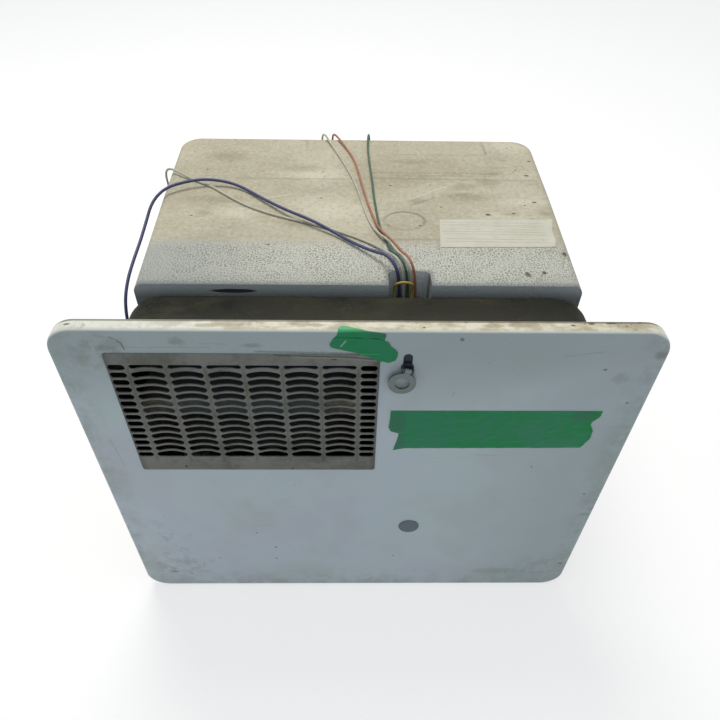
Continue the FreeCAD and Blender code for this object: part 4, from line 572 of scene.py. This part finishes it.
def foam(name, fields, stains, dabs, dark_lines, pale_lines):
    """Bead foam skin, pitted near the front and smoother behind, with stains, scuffs, moulded lines with
    painted shade and painted highlights, and a hollow painted dark as shade.
    """
    material, place, shader = finish_of(name)
    at = split(place)
    facing = split(facing_of(place))
    top = rise(facing["Z"], 0.5, 0.9)
    ahead = rise(times(facing["Y"], -1.0), 0.25, 0.8)

    cloud = noise(place, 9.0, 5.0, 0.6)
    body = tint(rise(cloud, 0.34, 0.66), srgb(180, 173, 152), srgb(197, 191, 170))
    pale_field, dull_field = fields
    lit = times(spots(place, on_top(pale_field), 0.45, 0.95), rise(cloud, 0.2, 0.6, 0.6, 1.0))
    body = coat(body, lit, 0.8, (214, 209, 189))
    dulled = times(spots(place, on_top(dull_field), 0.45, 0.95), rise(cloud, 0.25, 0.6, 1.0, 0.6))
    body = coat(body, dulled, 0.75, (160, 151, 128))
    wiped = noise(stretch(place, (1.0, 5.0, 5.0)), 18.0, 5.0, 0.6)
    body = tint(rise(wiped, 0.5, 0.72, 0.0, 0.3), body, srgb(164, 156, 134))
    body = coat(body, cover_of(BLOTCHES, place, 12.0, 0.5), 0.22, (156, 144, 118))
    grainy = noise(place, 240.0, 4.0, 0.7)
    body = tint(rise(grainy, 0.5, 0.72, 0.0, 0.45), body, srgb(146, 138, 116))
    body = tint(rise(grainy, 0.5, 0.3, 0.0, 0.4), body, srgb(218, 213, 196))

    pitted = times(less(rise(at["Y"], 0.140, 0.166)), top)
    body = coat(body, pitted, 0.7, (206, 208, 202))
    body = coat(body, times(pitted, less(rise(at["X"], -0.17, -0.04))), 0.85, (172, 175, 170))
    sunk = cells(place, 400.0)
    sunk.node.voronoi_dimensions = "2D"
    sunk.node.inputs["Randomness"].default_value = 0.8
    loose = noise(place, 60.0, 3.0, 0.6)
    size = times(rise(loose, 0.25, 0.7, 0.2, 0.36), rise(at["X"], -0.20, -0.12, 0.7, 1.0))
    pits = times(less(rise(sunk, times(size, 0.55), size)), pitted)
    few_size = rise(noise(place, 34.0, 4.0, 0.6), 0.46, 0.7, 0.02, 0.2)
    few = less(rise(cells(place, 420.0), times(few_size, 0.5), few_size))
    few = times(few, rise(at["X"], -0.08, 0.12, 0.25, 1.0))
    dots = most(pits, times(few, 0.6))
    body = coat(body, dots, 0.72, (104, 102, 89))

    body = coat(body, spots(place, on_top(stains), 0.5, 0.9), 0.42, (140, 130, 104))
    # Pale lines: a scuff, and painted highlights along moulded ridges.
    pale = strokes(place, lines_on_top(pale_lines), 2.6, 0.25)
    body = coat(body, pale, 0.4, (216, 211, 196))
    # Dark lines: streaks, and painted shade along moulded steps and ridges.
    dark = strokes(place, lines_on_top(dark_lines), 2.3, 0.45)
    body = coat(body, dark, 0.22, (112, 106, 90))
    small = spots(place, on_top(dabs), 0.35, 0.5)
    body = coat(body, small, 0.8, (70, 64, 50))

    if name == "front_foam":
        body = shaded_front(at, top, ahead, body)
    # Painted shade in the hollow of the front face, nearly black.
    painted_shade_hollow = spots(place, [(-108, 88, 327.0, 22, 5, 2.3)], 0.06, 0.25)
    body = coat(body, painted_shade_hollow, 0.92, (26, 29, 32))

    bead = cells(place, 210.0, 0.35)
    grain = noise(place, 520.0, 3.0)
    height = calc("MULTIPLY_ADD", bead, -0.35, times(grain, 0.8))
    height = calc("MULTIPLY_ADD", dots, -0.9, height)
    height = calc("MULTIPLY_ADD", pale, 0.9, height)
    height = calc("MULTIPLY_ADD", dark, -0.6, height)
    height = calc("SUBTRACT", height, most(small, painted_shade_hollow))
    if name == "front_foam":
        ring = use(SPOT, place=place, centre=metres(45, 193, JACKET_TOP), half=metres(19.5, 16.8, 50),
                   ragged=0.0)
        line = less(rise(calc("ABSOLUTE", calc("SUBTRACT", ring["Reach"], 1.0)), 0.02, 0.1))
        line = times(line, top)
        height = calc("MULTIPLY_ADD", line, -1.2, height)
        shade = times(line, rise(calc("ADD", at["Y"], times(at["X"], 0.4)), 0.198, 0.225, 0.1, 0.5))
        body = tint(shade, body, srgb(104, 100, 86))
    else:
        inside = times(within(at["X"], 0.0465, 0.1460, 0.002), rise(at["Y"], 0.3350, 0.3370))
        inside = times(inside, top)
        reeds = noise(stretch(place, (1.0, 0.02, 0.02)), 300.0, 2.0)
        height = calc("ADD", height, times(inside, calc("MULTIPLY_ADD", reeds, 0.8, 0.9)))
        body = coat(body, inside, 0.22, (206, 200, 182))
    dress(shader, body, 0.85, relief(height, 0.0012, 0.6), 0.25)
    return material


def metal(name, colour, dark, rough, metallic=1.0, brushed=0.0, sooty=None):
    """Bare metal with stains, and brushing where it is rolled or ground. Soot lies in soft ovals."""
    material, place, shader = finish_of(name)
    stain = cover_of(BLOTCHES, place, 30.0, 0.45)
    plain = srgb(*colour)
    body = tint(noise(place, 70.0, 4.0), plain, (*(0.82 * c for c in plain[:3]), 1.0))
    body = coat(body, stain, 0.5, dark)
    shine = calc("MULTIPLY_ADD", stain, 0.25, rough)
    shader.inputs["Metallic"].default_value = metallic
    if sooty:
        soot = spots(place, sooty, 0.2, 0.35)
        body = coat(body, soot, 0.9, (62, 72, 78))
        shine = most(shine, times(soot, 0.85))
        join(times(less(times(soot, 0.92)), metallic), shader.inputs["Metallic"])
    grain = noise(stretch(place, (1.0, 1.0, 14.0)), 160.0, 3.0)
    height = calc("MULTIPLY_ADD", grain, brushed, noise(place, 600.0, 3.0))
    dress(shader, body, shine, relief(height, 0.0003, 0.3))
    return material


def plastic(name, colour, worn, rough=0.5, grain=900.0, dusty=0.3):
    """Moulded plastic or rubber with a fine grain, rubbed and dusty."""
    material, place, shader = finish_of(name)
    rub = cover_of(BLOTCHES, place, 60.0, 0.45)
    dust = use(DUST, place=place, facing=facing_of(place), scale=50.0)["Mask"]
    body = coat(srgb(*colour), rub, 0.5, worn)
    body = coat(body, dust, dusty, (150, 144, 126))
    bump = relief(noise(place, grain, 3.0), 0.0003, 0.3)
    dress(shader, body, calc("MULTIPLY_ADD", rub, 0.2, rough), bump)
    return material


def board():
    """Green circuit board with copper tracks under the lacquer."""
    material, place, shader = finish_of("board_green")
    tracks = add("ShaderNodeTexBrick", place)
    join(stretch(place, turn=(math.pi / 2, 0.0, 0.0)), tracks.inputs["Vector"])
    tracks.inputs["Scale"].default_value = 90.0
    tracks.inputs["Mortar Size"].default_value = 0.03
    tracks.inputs["Color1"].default_value = srgb(30, 92, 54)
    tracks.inputs["Color2"].default_value = srgb(24, 78, 46)
    tracks.inputs["Mortar"].default_value = srgb(70, 130, 84)
    dull = calc("MULTIPLY_ADD", noise(place, 80.0, 4.0), 0.3, 0.25)
    dress(shader, tracks.outputs["Color"], dull, relief(tracks.outputs["Fac"], 0.0002, 0.4))
    return material


def insulation(name, colour, pale):
    """Soft wire covering, dulled and dirty in places along its length."""
    material, place, shader = finish_of(name)
    dusty = noise(place, 130.0, 4.0, 0.6)
    body = tint(rise(dusty, 0.4, 0.75, 0.0, 0.35), srgb(*colour), srgb(*pale))
    body = coat(body, cover_of(BLOTCHES, place, 55.0, 0.5), 0.45, (84, 78, 66))
    bump = relief(noise(place, 420.0, 3.0), 0.0002, 0.4)
    dress(shader, body, calc("MULTIPLY_ADD", dusty, 0.3, 0.36), bump)
    return material


# On each foam block's top: pale and dull fields, stains, dabs, dark lines and pale lines
FOAMS = {
    "front_foam": (
        ([(-30, 214, 70, 40), (140, 196, 70, 34), (165, 232, 42, 20), (-120, 205, 36, 24)],
         [(118, 240, 60, 16), (-150, 150, 50, 30)]),
        [(108, 244, 26, 14), (185, 209, 9, 7), (188, 137, 9, 9), (176, 143, 6, 4), (150, 208, 14, 4),
         (170, 199, 5, 3), (60, 232, 20, 9), (-140, 232, 40, 12), (-60, 190, 22, 18), (-152, 205, 10, 9)],
        [(128, 206, 3.2, 2.6), (179, 231, 2.6, 2.2), (168, 225, 1.6, 1.2), (83, 220, 1.3, 1.1),
         (29, 185, 1.3, 1.0), (59, 185, 1.6, 1.1), (148, 105, 3.0, 5.2), (163, 108, 2.6, 3.4),
         (-83, 150, 1.5, 1.3), (-162, 200, 1.5, 1.2), (-37, 236, 1.4, 1.2), (154, 209, 2.0, 1.2),
         (188, 138, 2.4, 3.4)],
        [(30, 159, 74, 160), (75, 161, 73, 144), (163, 108, 153, 92), (53, 223, 78, 238)],
        [(51, 234, 75, 249), (-97, 233, -68, 243)]),
    "rear_foam": (
        ([(-45, 286, 60, 34), (170, 360, 40, 24)],
         [(110, 300, 80, 34), (60, 276, 90, 20), (20, 372, 60, 10)]),
        [(138, 272, 22, 14), (110, 262, 24, 12), (148, 291, 18, 8), (84, 286, 70, 5), (196, 366, 15, 12),
         (-140, 326, 34, 18), (72, 378, 26, 5), (-60, 300, 40, 14), (60, 318, 30, 9)],
        [(191, 322, 2.2, 1.8), (172, 300, 1.6, 1.2), (169, 296, 1.2, 1.0), (182, 288, 3.0, 2.0),
         (76, 265, 1.4, 1.2), (34, 263, 1.8, 1.2), (-37, 292, 1.6, 1.3), (-161, 295, 1.4, 1.1),
         (172, 354, 1.4, 1.1)],
        [(-126, 276, -16, 276), (18, 292, 150, 291), (18, 279, 190, 276.5), (143, 376, 146, 338),
         (-58, 373, -57, 358)],
        [(75, 251, 94, 263)]),
}

SOOT = [(-94, 48, 236, 136, 62, 58)]

# Each metal's colour, stains, roughness, metallic share, brushing and soot
METALS = {
    "tank_aluminium": ((196, 198, 200), (120, 118, 112), 0.35, 1.0, 0.4),
    "plated_sheet": ((150, 142, 122), (86, 70, 50), 0.42, 1.0, 0.3, SOOT),
    "valve_casting": ((170, 170, 168), (108, 104, 98), 0.5),
    "brass": ((190, 156, 84), (112, 84, 44), 0.32),
    "steel": ((150, 150, 146), (92, 80, 62), 0.38, 1.0, 0.3),
    "ring_steel": ((112, 122, 120), (58, 58, 54), 0.5, 0.8),
    "pipe_aluminium": ((186, 188, 190), (120, 118, 110), 0.34, 1.0, 0.5),
}

# Each plastic's colour, worn colour, roughness, grain and dust
PLASTICS = {
    "grey_plastic": ((96, 110, 118), (78, 88, 92)),
    "black_plastic": ((30, 30, 31), (46, 45, 43)),
    "rocker_plastic": ((22, 22, 23), (36, 36, 36), 0.22),
    "ceramic": ((226, 222, 208), (196, 186, 160), 0.2, 300.0, 0.1),
    "nylon": ((222, 218, 204), (196, 188, 166), 0.4),
    "rubber": ((34, 33, 31), (58, 56, 50), 0.7, 500.0, 0.45),
}

INSULATIONS = {
    "blue_insulation": ((50, 56, 102), (86, 92, 128)),
    "white_insulation": ((190, 189, 174), (164, 160, 144)),
    "green_insulation": ((44, 80, 62), (80, 108, 88)),
    "orange_insulation": ((164, 104, 78), (176, 136, 112)),
    "yellow_insulation": ((178, 156, 60), (168, 156, 104)),
}

FINISHES = {"pan_paint": pan_paint(), "door_paint": door_paint(), "grille_paint": grille_paint(),
            "board_green": board()}
for make, kinds in ((foam, FOAMS), (metal, METALS), (plastic, PLASTICS), (insulation, INSULATIONS)):
    for name, values in kinds.items():
        FINISHES[name] = make(name, *values)

LATCH_STEELS = {
    "latch_stud": ("stud_steel", (58, 68, 78), (34, 38, 42), 0.5, 0.75, 0.3),
    "latch_plate": ("plate_steel", (52, 60, 68), (32, 35, 38), 0.6, 0.6, 0.3),
    "latch_strike": ("strike_steel", (58, 66, 74), (34, 37, 40), 0.55, 0.6, 0.3),
    "latch_washer": ("washer_steel", (104, 114, 116), (54, 56, 54), 0.5, 0.8, 0.3),
}

for part in frame["record"]["subparts"]:
    surface = nodes[part["node"]].data
    surface.materials.clear()
    if part["node"] in LATCH_STEELS:
        surface.materials.append(metal(*LATCH_STEELS[part["node"]]))
    else:
        surface.materials.append(FINISHES[part["material_slot"]])


# Leads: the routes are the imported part's own, in millimetres

LEADS = [
    ("blue_lead", "lead_blue", "blue_insulation", 605, 3, "bare", [
        (36, 89.5, 302), (36, 94.8, 302), (36, 99.7, 304.6), (35.9, 102.8, 309.3), (35.7, 103.7, 317),
        (34.8, 103.7, 328), (33, 103.6, 338), (28.8, 109, 344.6), (23, 117.5, 345.6), (16.5, 126.5, 341.5),
        (5, 139, 338), (-9, 153, 336.6), (-25, 168, 337.6), (-46, 183, 340.8), (-70, 202, 339.4),
        (-97, 230, 336.8), (-117, 251, 336.6), (-135, 259.5, 338.8), (-158, 260.5, 341), (-179, 253, 340.8),
        (-195, 240.5, 340.5), (-206, 226, 333.5), (-210, 206, 322), (-212, 182, 315), (-214, 158, 310),
        (-216, 136, 303), (-217, 118, 291), (-217, 109, 268), (-216, 104, 236), (-214, 102, 200),
        (-213, 102, 168)]),
    ("white_lead_left", "lead_white_left", "white_insulation", 527, 2.3, "bare", [
        (40, 89.5, 298), (40, 94.8, 298), (40, 99.3, 300.6), (39.9, 102.3, 305), (39.7, 103.6, 312),
        (39, 103.7, 325), (37.3, 103.7, 337), (34.8, 108.5, 343.4), (31, 117, 344.4), (27.8, 126, 340.4),
        (23, 137.5, 336.8), (13, 149, 335.6), (-2, 160.5, 335.3), (-21, 172, 335.3), (-42, 183, 335.3),
        (-64, 192, 335.3), (-90, 204, 335.4), (-114, 219.5, 335.3), (-134, 239, 335.3), (-152, 257, 335.3),
        (-170, 268, 335.3), (-187, 280, 337.5), (-201, 291, 337.5), (-208, 298, 328), (-208.5, 302, 310),
        (-208, 303, 284), (-207.5, 302, 250), (-208, 300, 212), (-207, 299, 176)]),
    ("green_lead", "lead_green", "green_insulation", 496, 2.3, "bare", [
        (43.5, 89.5, 303), (43.5, 94.8, 303), (43.5, 99.3, 305.6), (43.4, 102.3, 310), (43.1, 103.6, 317),
        (42.2, 103.7, 328), (40.6, 103.7, 338), (37.8, 108.5, 344.4), (34, 117, 345.4), (31.2, 126, 341.3),
        (29, 137, 337.4), (26.2, 150, 335.6), (23.4, 163, 335.3), (20.4, 179, 335.3), (18, 204, 335.3),
        (16, 238, 335.3), (15, 274, 335.3), (13, 310, 335.3), (12, 345, 335.3), (12.5, 369, 337.5),
        (14, 383, 336.5), (15, 389, 327), (15, 391, 309), (14, 391, 280), (13, 390, 244), (14, 389, 206),
        (14, 389, 172)]),
    ("white_lead_back", "lead_white_back", "white_insulation", 469, 2.3, "bare", [
        (47, 89.5, 298), (47, 94.8, 298), (47, 99.3, 300.6), (46.9, 102.3, 305), (46.7, 103.6, 312),
        (46, 103.7, 325), (44.2, 103.7, 337.6), (41.2, 108.5, 344.2), (37.4, 117, 345.4),
        (34.7, 126.5, 341.8), (32.4, 137, 339), (29.6, 146, 338.8), (24.5, 154.5, 338.8),
        (18.5, 165, 337.2), (13.2, 180, 335.4), (7, 206, 335.3), (2.5, 236, 335.3), (-3.5, 270, 335.3),
        (-12, 302, 335.3), (-22, 334, 335.3), (-31, 359, 337), (-38, 377, 339), (-41, 388.5, 330),
        (-41, 391.5, 312), (-41, 391, 284), (-40, 390, 248), (-41, 389, 214)]),
    ("orange_lead", "lead_orange", "orange_insulation", 486, 2.3, "bare", [
        (50.5, 89.5, 303), (50.5, 94.8, 303), (50.5, 99.3, 305.6), (50.4, 102.3, 310), (50.1, 103.6, 317),
        (49.2, 103.7, 328), (47.4, 103.7, 338), (44.8, 108.5, 344.4), (41.6, 117, 345.4),
        (38.8, 126.5, 341.5), (35.6, 138, 339.3), (31.2, 148.5, 339.2), (25.6, 158, 339.4),
        (21, 169, 338.2), (17.3, 183, 335.8), (13, 204, 335.3), (8, 234, 335.3), (4, 264, 335.3),
        (0.5, 293, 335.3), (-4, 321, 335.3), (-12, 346, 335.3), (-20, 365, 337.5), (-27, 380, 338),
        (-29, 389, 328), (-29, 391.5, 310), (-28, 391, 282), (-27, 390, 250), (-28, 389, 218),
        (-29, 389, 190)]),
    ("earth_lead", "lead_earth", "yellow_insulation", 71, 2.3, "object", [
        (46.5, 89.5, 309.9), (46.5, 93.7, 309.9), (46.5, 97.3, 312), (46.5, 99.4, 315.6), (46.5, 99.4, 322),
        (46.5, 96.4, 328.1), (44.4, 94.6, 331.2), (40.8, 93.6, 333), (36.7, 93.6, 333), (33.1, 94.6, 331.2),
        (31, 96.4, 328.1), (31, 99.4, 322), (31, 99.4, 315.6), (31, 97.3, 312), (31, 93.7, 309.9),
        (31, 89.5, 309.9)]),
]

STRANDS = 7
STRAND_RADIUS = 0.00019
BARE_LENGTH = 0.009
STRAND_START = 0.0006
COPPER = metal("copper", (184, 110, 74), (96, 60, 44), 0.38)


def curve_of(name, radius, sides):
    """A round curve with closed ends, still without a run."""
    made = bpy.data.curves.new(name, "CURVE")
    made.dimensions = "3D"
    made.bevel_depth = radius
    made.bevel_resolution = sides
    made.use_fill_caps = True
    return made


def run_along(curve, points):
    spline = curve.splines.new("NURBS")
    spline.points.add(len(points) - 1)
    for control, point in zip(spline.points, points):
        control.co = (*point, 1.0)
    spline.order_u = 3
    spline.use_endpoint_u = True


def bare_end(name, last, before):
    """Fine strands that stand out of a lead's end, a little splayed."""
    ahead = (Vector(last) - Vector(before)).normalized()
    side = ahead.orthogonal().normalized()
    cut = curve_of(name, STRAND_RADIUS, 1)
    for strand in range(STRANDS):
        turn = 2 * math.pi * strand / (STRANDS - 1)
        out = 0.0 if strand == STRANDS - 1 else 1.0
        points = []
        for share in (0.0, 1 / 3, 2 / 3, 1.0):
            swing = Matrix.Rotation(turn + 0.9 * share, 3, ahead) @ side
            reach = BARE_LENGTH * (1 - 0.07 * math.sin(5.1 * strand)) * share - STRAND_START
            spread = out * (0.00040 + 0.00055 * share ** 2 * (1 + 0.6 * math.sin(2.7 * strand)))
            points.append(Vector(last) + ahead * reach + swing * spread)
        run_along(cut, points)
    tuft = bpy.data.objects.new(name, cut)
    scene.collection.objects.link(tuft)
    bpy.ops.object.select_all(action="DESELECT")
    tuft.select_set(True)
    bpy.context.view_layer.objects.active = tuft
    bpy.ops.object.convert(target="MESH")
    tuft = bpy.context.object
    tuft.data.materials.clear()
    tuft.data.materials.append(COPPER)
    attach(tuft, "housing")
    return tuft


for name, node, slot, length, across, end, route in LEADS:
    points = [metres(*point) for point in route]
    line = curve_of(name, across / 2000, 4)
    line.resolution_u = 10
    run_along(line, points)
    lead = bpy.data.objects.new(name, line)
    scene.collection.objects.link(lead)
    line.materials.append(FINISHES[slot])
    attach(lead, "housing")
    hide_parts(node)
    tufts = [bare_end(name + "_strands", points[-1], points[-2])] if end == "bare" else []


# Tape on the door and the blank label on the jacket, their edges in millimetres

RIM_RADIUS = 3.0
BEND_START = DOOR_TOP - RIM_RADIUS
BEND_LENGTH = RIM_RADIUS * math.pi / 2
GRILLE_TOP = 345.8
GRILLE_RIGHT = 14.0
TAPE_THICKNESS = 0.15
LABEL_THICKNESS = 0.12


def along(points, share):
    """The point at a share of a broken line's length."""
    left = share * sum(math.dist(a, b) for a, b in zip(points, points[1:]))
    for a, b in zip(points, points[1:]):
        run = math.dist(a, b)
        if left <= run:
            return [p + (q - p) * left / run for p, q in zip(a, b)]
        left -= run
    return points[-1]


def ease(value, low, high):
    share = min(1.0, max(0.0, (value - low) / (high - low)))
    return share * share * (3 - 2 * share)


def thin_sheet(name, grid, low, high, left, right, settle, thickness, material, body):
    """A thin sheet between four edges that share their corners, laid on a surface by settle."""
    bpy.ops.object.select_all(action="DESELECT")
    bpy.ops.mesh.primitive_grid_add(x_subdivisions=grid[0], y_subdivisions=grid[1], size=2.0)
    piece = bpy.context.object
    piece.name = name
    for vertex in piece.data.vertices:
        u = (vertex.co.x + 1) / 2
        v = (vertex.co.y + 1) / 2
        edges = along(low, u), along(high, u), along(left, v), along(right, v)
        flat = []
        for i in (0, 1):
            blend = (1 - v) * edges[0][i] + v * edges[1][i] + (1 - u) * edges[2][i] + u * edges[3][i]
            start = (1 - v) * low[0][i] + v * high[0][i]
            end = (1 - v) * low[-1][i] + v * high[-1][i]
            flat.append(blend - ((1 - u) * start + u * end))
        vertex.co = Vector(settle(*flat)) / 1000
    shell = piece.modifiers.new("thickness", "SOLIDIFY")
    shell.thickness = thickness / 1000
    shell.offset = -1.0
    bpy.ops.object.modifier_apply(modifier="thickness")
    bpy.ops.object.shade_smooth_by_angle(angle=math.radians(50))
    piece.data.materials.append(material)
    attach(piece, body)


def ripple(x, z, scale, seed):
    return wave_at(Vector((x * scale, z * scale * 1.7, seed)))


def bumps(x, z, scale, seed):
    return max(0.0, ripple(x, z, scale, seed))


def on_door(x, z, lift):
    """A place on the door's face that goes on over the bend of its rim and over the grille's corner."""
    below = 1 - ease(z, GRILLE_TOP - 0.2, GRILLE_TOP + 1.6)
    beside = 1 - ease(x, GRILLE_RIGHT - 0.2, GRILLE_RIGHT + 1.8)
    lift = lift + below * beside * (DOOR_FACE - GRILLE_FACE)
    if z <= BEND_START:
        return x, DOOR_FACE - lift, z
    turn = min(z - BEND_START, BEND_LENGTH) / RIM_RADIUS
    lift = lift + (0.06 - lift) * math.sin(turn)
    over = max(0.0, z - BEND_START - BEND_LENGTH)
    return (x, DOOR_FACE + RIM_RADIUS - (RIM_RADIUS + lift) * math.cos(turn) + over,
            BEND_START + (RIM_RADIUS + lift) * math.sin(turn))


def tape(name, place_marks, slit=()):
    """Crinkled green masking tape, greyer where it is doubled or rubbed, with painted light where it faces
    up.
    """
    material, place, shader = finish_of(name)
    cloud = noise(place, 30.0, 5.0, 0.6)
    body = tint(rise(cloud, 0.35, 0.65), srgb(16, 128, 88), srgb(0, 132, 72))
    fine = noise(stretch(place, (1.0, 1.0, 5.0)), 120.0, 5.0, 0.7)
    body = tint(rise(fine, 0.5, 0.75, 0.0, 0.3), body, srgb(44, 150, 104))
    # Painted light on the tape where it faces up over the rim.
    over = rise(split(facing_of(place))["Z"], 0.4, 0.85)
    body = coat(body, over, 0.5, (110, 206, 140))
    body = coat(body, spots(place, on_face(9, place_marks), 0.2, 0.5), 0.62, (44, 104, 82))
    body = coat(body, cover_of(SPECKS, place, 420.0, 0.2), 0.3, (30, 70, 54))
    if slit:
        torn = strokes(place, lines_on_face(slit, DOOR_FACE - 0.8), 0.8, 0.1)
        body = coat(body, torn, 0.85, (176, 190, 186))
    crepe = noise(stretch(place, (9.0, 1.0, 1.6), (0.0, 0.12, 0.0)), 150.0, 3.0, 0.6)
    crease = noise(stretch(place, (1.0, 1.0, 3.2), (0.0, 0.5, 0.0)), 46.0, 3.0, 0.5, 0.6)
    bump = relief(calc("MULTIPLY_ADD", crease, 1.6, crepe), 0.0005, 0.5)
    dress(shader, body, rise(cloud, 0.3, 0.7, 0.42, 0.58), bump, 0.35)
    return material


def long_tape():
    """The strip across the door's right half, torn at both ends."""
    def settle(x, z):
        torn = ease(x, 188.0, 195.0) + 1 - ease(x, 24.0, 29.0)
        shift = 0.5 * torn * ripple(x, z, 0.9, 3.0)
        return on_door(x + shift, z, 0.22 + 0.5 * bumps(x, z, 0.11, 1.0) + 0.35 * torn)

    thin_sheet("long_tape", (150, 44),
               [(28.8, 235.9), (38.9, 238.6), (189.0, 239.7)], [(24.7, 285.4), (195.4, 285.6)],
               [(28.8, 235.9), (31.5, 249.1), (32.6, 257.6), (25.8, 260.5), (23.9, 265.5), (24.7, 285.4)],
               [(189.0, 239.7), (194.1, 252.2), (193.8, 262.4), (190.0, 269.0), (190.6, 272.5),
                (195.1, 279.0), (195.4, 285.6)],
               settle, TAPE_THICKNESS,
               tape("tape_green", [(31, 270, 9.5, 17), (30, 248, 10, 14), (181, 280, 13, 9)]), "door")


def small_tape():
    """Two overlapping scraps: one goes over the rim, the other lies on it and on the grille's corner."""
    finish = tape("tape_green_worn", [(12, 364, 9, 3.4)], [(-15.1, 353.5, -11.5, 358.6)])

    def under(x, z):
        return on_door(x + 0.3 * ripple(x, z, 0.8, 7.0), z, 0.22 + 0.5 * bumps(x, z, 0.16, 5.0))

    def over(x, z):
        return on_door(x + 0.3 * ripple(x, z, 0.8, 2.0), z, 0.6 + 0.6 * bumps(x, z, 0.14, 9.0))

    thin_sheet("rim_tape", (56, 32), [(-20.0, 352.0), (16.0, 352.0)],
               [(-15.0, 371.7), (-12.0, 371.9), (2.5, 367.4), (17.0, 365.3)],
               [(-20.0, 352.0), (-20.2, 360.5), (-17.4, 364.5), (-16.9, 369.0), (-15.0, 371.7)],
               [(16.0, 352.0), (16.5, 359.4), (17.5, 363.6), (17.0, 365.3)],
               under, TAPE_THICKNESS, finish, "door")
    thin_sheet("corner_tape", (72, 36),
               [(-20.6, 351.8), (-4.9, 347.7), (6.0, 344.2), (12.2, 340.0), (17.6, 338.3), (21.1, 338.0)],
               [(-19.0, 361.4), (-5.0, 361.2), (8.0, 360.6), (13.0, 360.3), (19.0, 357.6)],
               [(-20.6, 351.8), (-22.4, 352.6), (-23.0, 355.3), (-20.6, 360.2), (-19.0, 361.4)],
               [(21.1, 338.0), (25.3, 340.0), (26.7, 345.0), (26.4, 348.2), (24.0, 351.2), (21.4, 353.2),
                (20.2, 356.4), (19.0, 357.6)],
               over, TAPE_THICKNESS, finish, "door")


def blank_label():
    """A plain paper label with faint ruled lines, lifting at its right end."""
    material, place, shader = finish_of("label_paper")
    cloud = noise(place, 40.0, 4.0, 0.6)
    body = tint(rise(cloud, 0.35, 0.65), srgb(198, 195, 179), srgb(206, 203, 188))
    rows = [(81, y, 178, y - 1.2) for y in (191, 187, 175, 170.5, 162, 157.5)]
    frames = [(87, 184.5, 117, 184), (87, 179.5, 117, 179), (129, 183.8, 173, 183), (129, 178.8, 173, 178)]
    ruled = strokes(place, lines_on_top(rows + frames), 0.7, 0.3)
    body = coat(body, ruled, 0.42, (122, 119, 108))
    body = coat(body, cover_of(BLOTCHES, place, 40.0, 0.45), 0.25, (172, 162, 136))
    dress(shader, body, 0.6, relief(noise(place, 180.0, 4.0), 0.0004, 0.35))

    def settle(x, y):
        curl = ease(x, 176.0, 189.0) * (0.8 + 0.5 * math.sin(y * 0.21))
        edge = ease(abs(y - 172.0), 16.0, 23.0)
        return x, y, JACKET_TOP + 0.26 + 1.6 * curl + 0.12 * edge + 0.2 * bumps(x, y, 0.1, 4.0)

    thin_sheet("blank_label", (90, 40), [(75.0, 147.0), (182.0, 149.0)], [(79.0, 196.0), (189.0, 197.0)],
               [(75.0, 147.0), (79.0, 196.0)],
               [(182.0, 149.0), (184.4, 160.0), (185.0, 176.0), (189.0, 197.0)],
               settle, LABEL_THICKNESS, material, "housing")


long_tape()
small_tape()
blank_label()


# Studio: pale floor, white surround, a soft lamp above and a weak one in front

def seen_rays(tree):
    """One for what the camera sees, in a gloss or through glass too, and zero for light on the part."""
    rays = tree.nodes.new("ShaderNodeLightPath").outputs
    return most(rays["Is Camera Ray"], most(rays["Is Glossy Ray"], rays["Is Transmission Ray"]))


scene.view_settings.view_transform = "Standard"

world = bpy.data.worlds.new("studio")
scene.world = world
world.use_nodes = True
sky = world.node_tree
fill = sky.nodes["Background"]
fill.inputs["Color"].default_value = (0.90, 0.96, 1.0, 1.0)
fill.inputs["Strength"].default_value = 0.42
white = sky.nodes.new("ShaderNodeBackground")
white.inputs["Color"].default_value = (1.0, 1.0, 1.0, 1.0)
white.inputs["Strength"].default_value = 1.0
choice = sky.nodes.new("ShaderNodeMixShader")
join(seen_rays(sky), choice.inputs["Fac"])
join(fill.outputs[0], choice.inputs[1])
join(white.outputs[0], choice.inputs[2])
join(choice.outputs[0], sky.nodes["World Output"].inputs["Surface"])

bpy.ops.mesh.primitive_plane_add(size=24.0, location=(0.0, 0.0, -0.0004))
floor = bpy.context.object
floor.name = "floor"
floor_finish = bpy.data.materials.new("floor_white")
floor_finish.use_nodes = True
ground = floor_finish.node_tree
pale = ground.nodes["Principled BSDF"]
pale.inputs["Base Color"].default_value = (0.46, 0.46, 0.46, 1.0)
pale.inputs["Roughness"].default_value = 0.9
glow = ground.nodes.new("ShaderNodeEmission")
glow.inputs["Color"].default_value = (1.0, 1.0, 1.0, 1.0)
join(times(seen_rays(ground), 0.62), glow.inputs["Strength"])
both = ground.nodes.new("ShaderNodeAddShader")
join(pale.outputs[0], both.inputs[0])
join(glow.outputs[0], both.inputs[1])
join(both.outputs[0], ground.nodes["Material Output"].inputs["Surface"])
floor.data.materials.append(floor_finish)


def lamp(name, place, target, size, power, colour):
    data = bpy.data.lights.new(name, "AREA")
    data.shape = "DISK"
    data.size = size
    data.energy = power
    data.color = colour
    made = bpy.data.objects.new(name, data)
    made.location = place
    made.rotation_euler = (Vector(target) - Vector(place)).to_track_quat("-Z", "Y").to_euler()
    scene.collection.objects.link(made)


lamp("lamp_above", (-0.35, 0.95, 2.1), (0.0, 0.15, 0.18), 1.1, 26.0, (1.0, 0.97, 0.90))
lamp("lamp_front", (0.5, -2.6, 1.5), (0.0, 0.0, 0.18), 1.6, 8.0, (0.94, 0.97, 1.0))
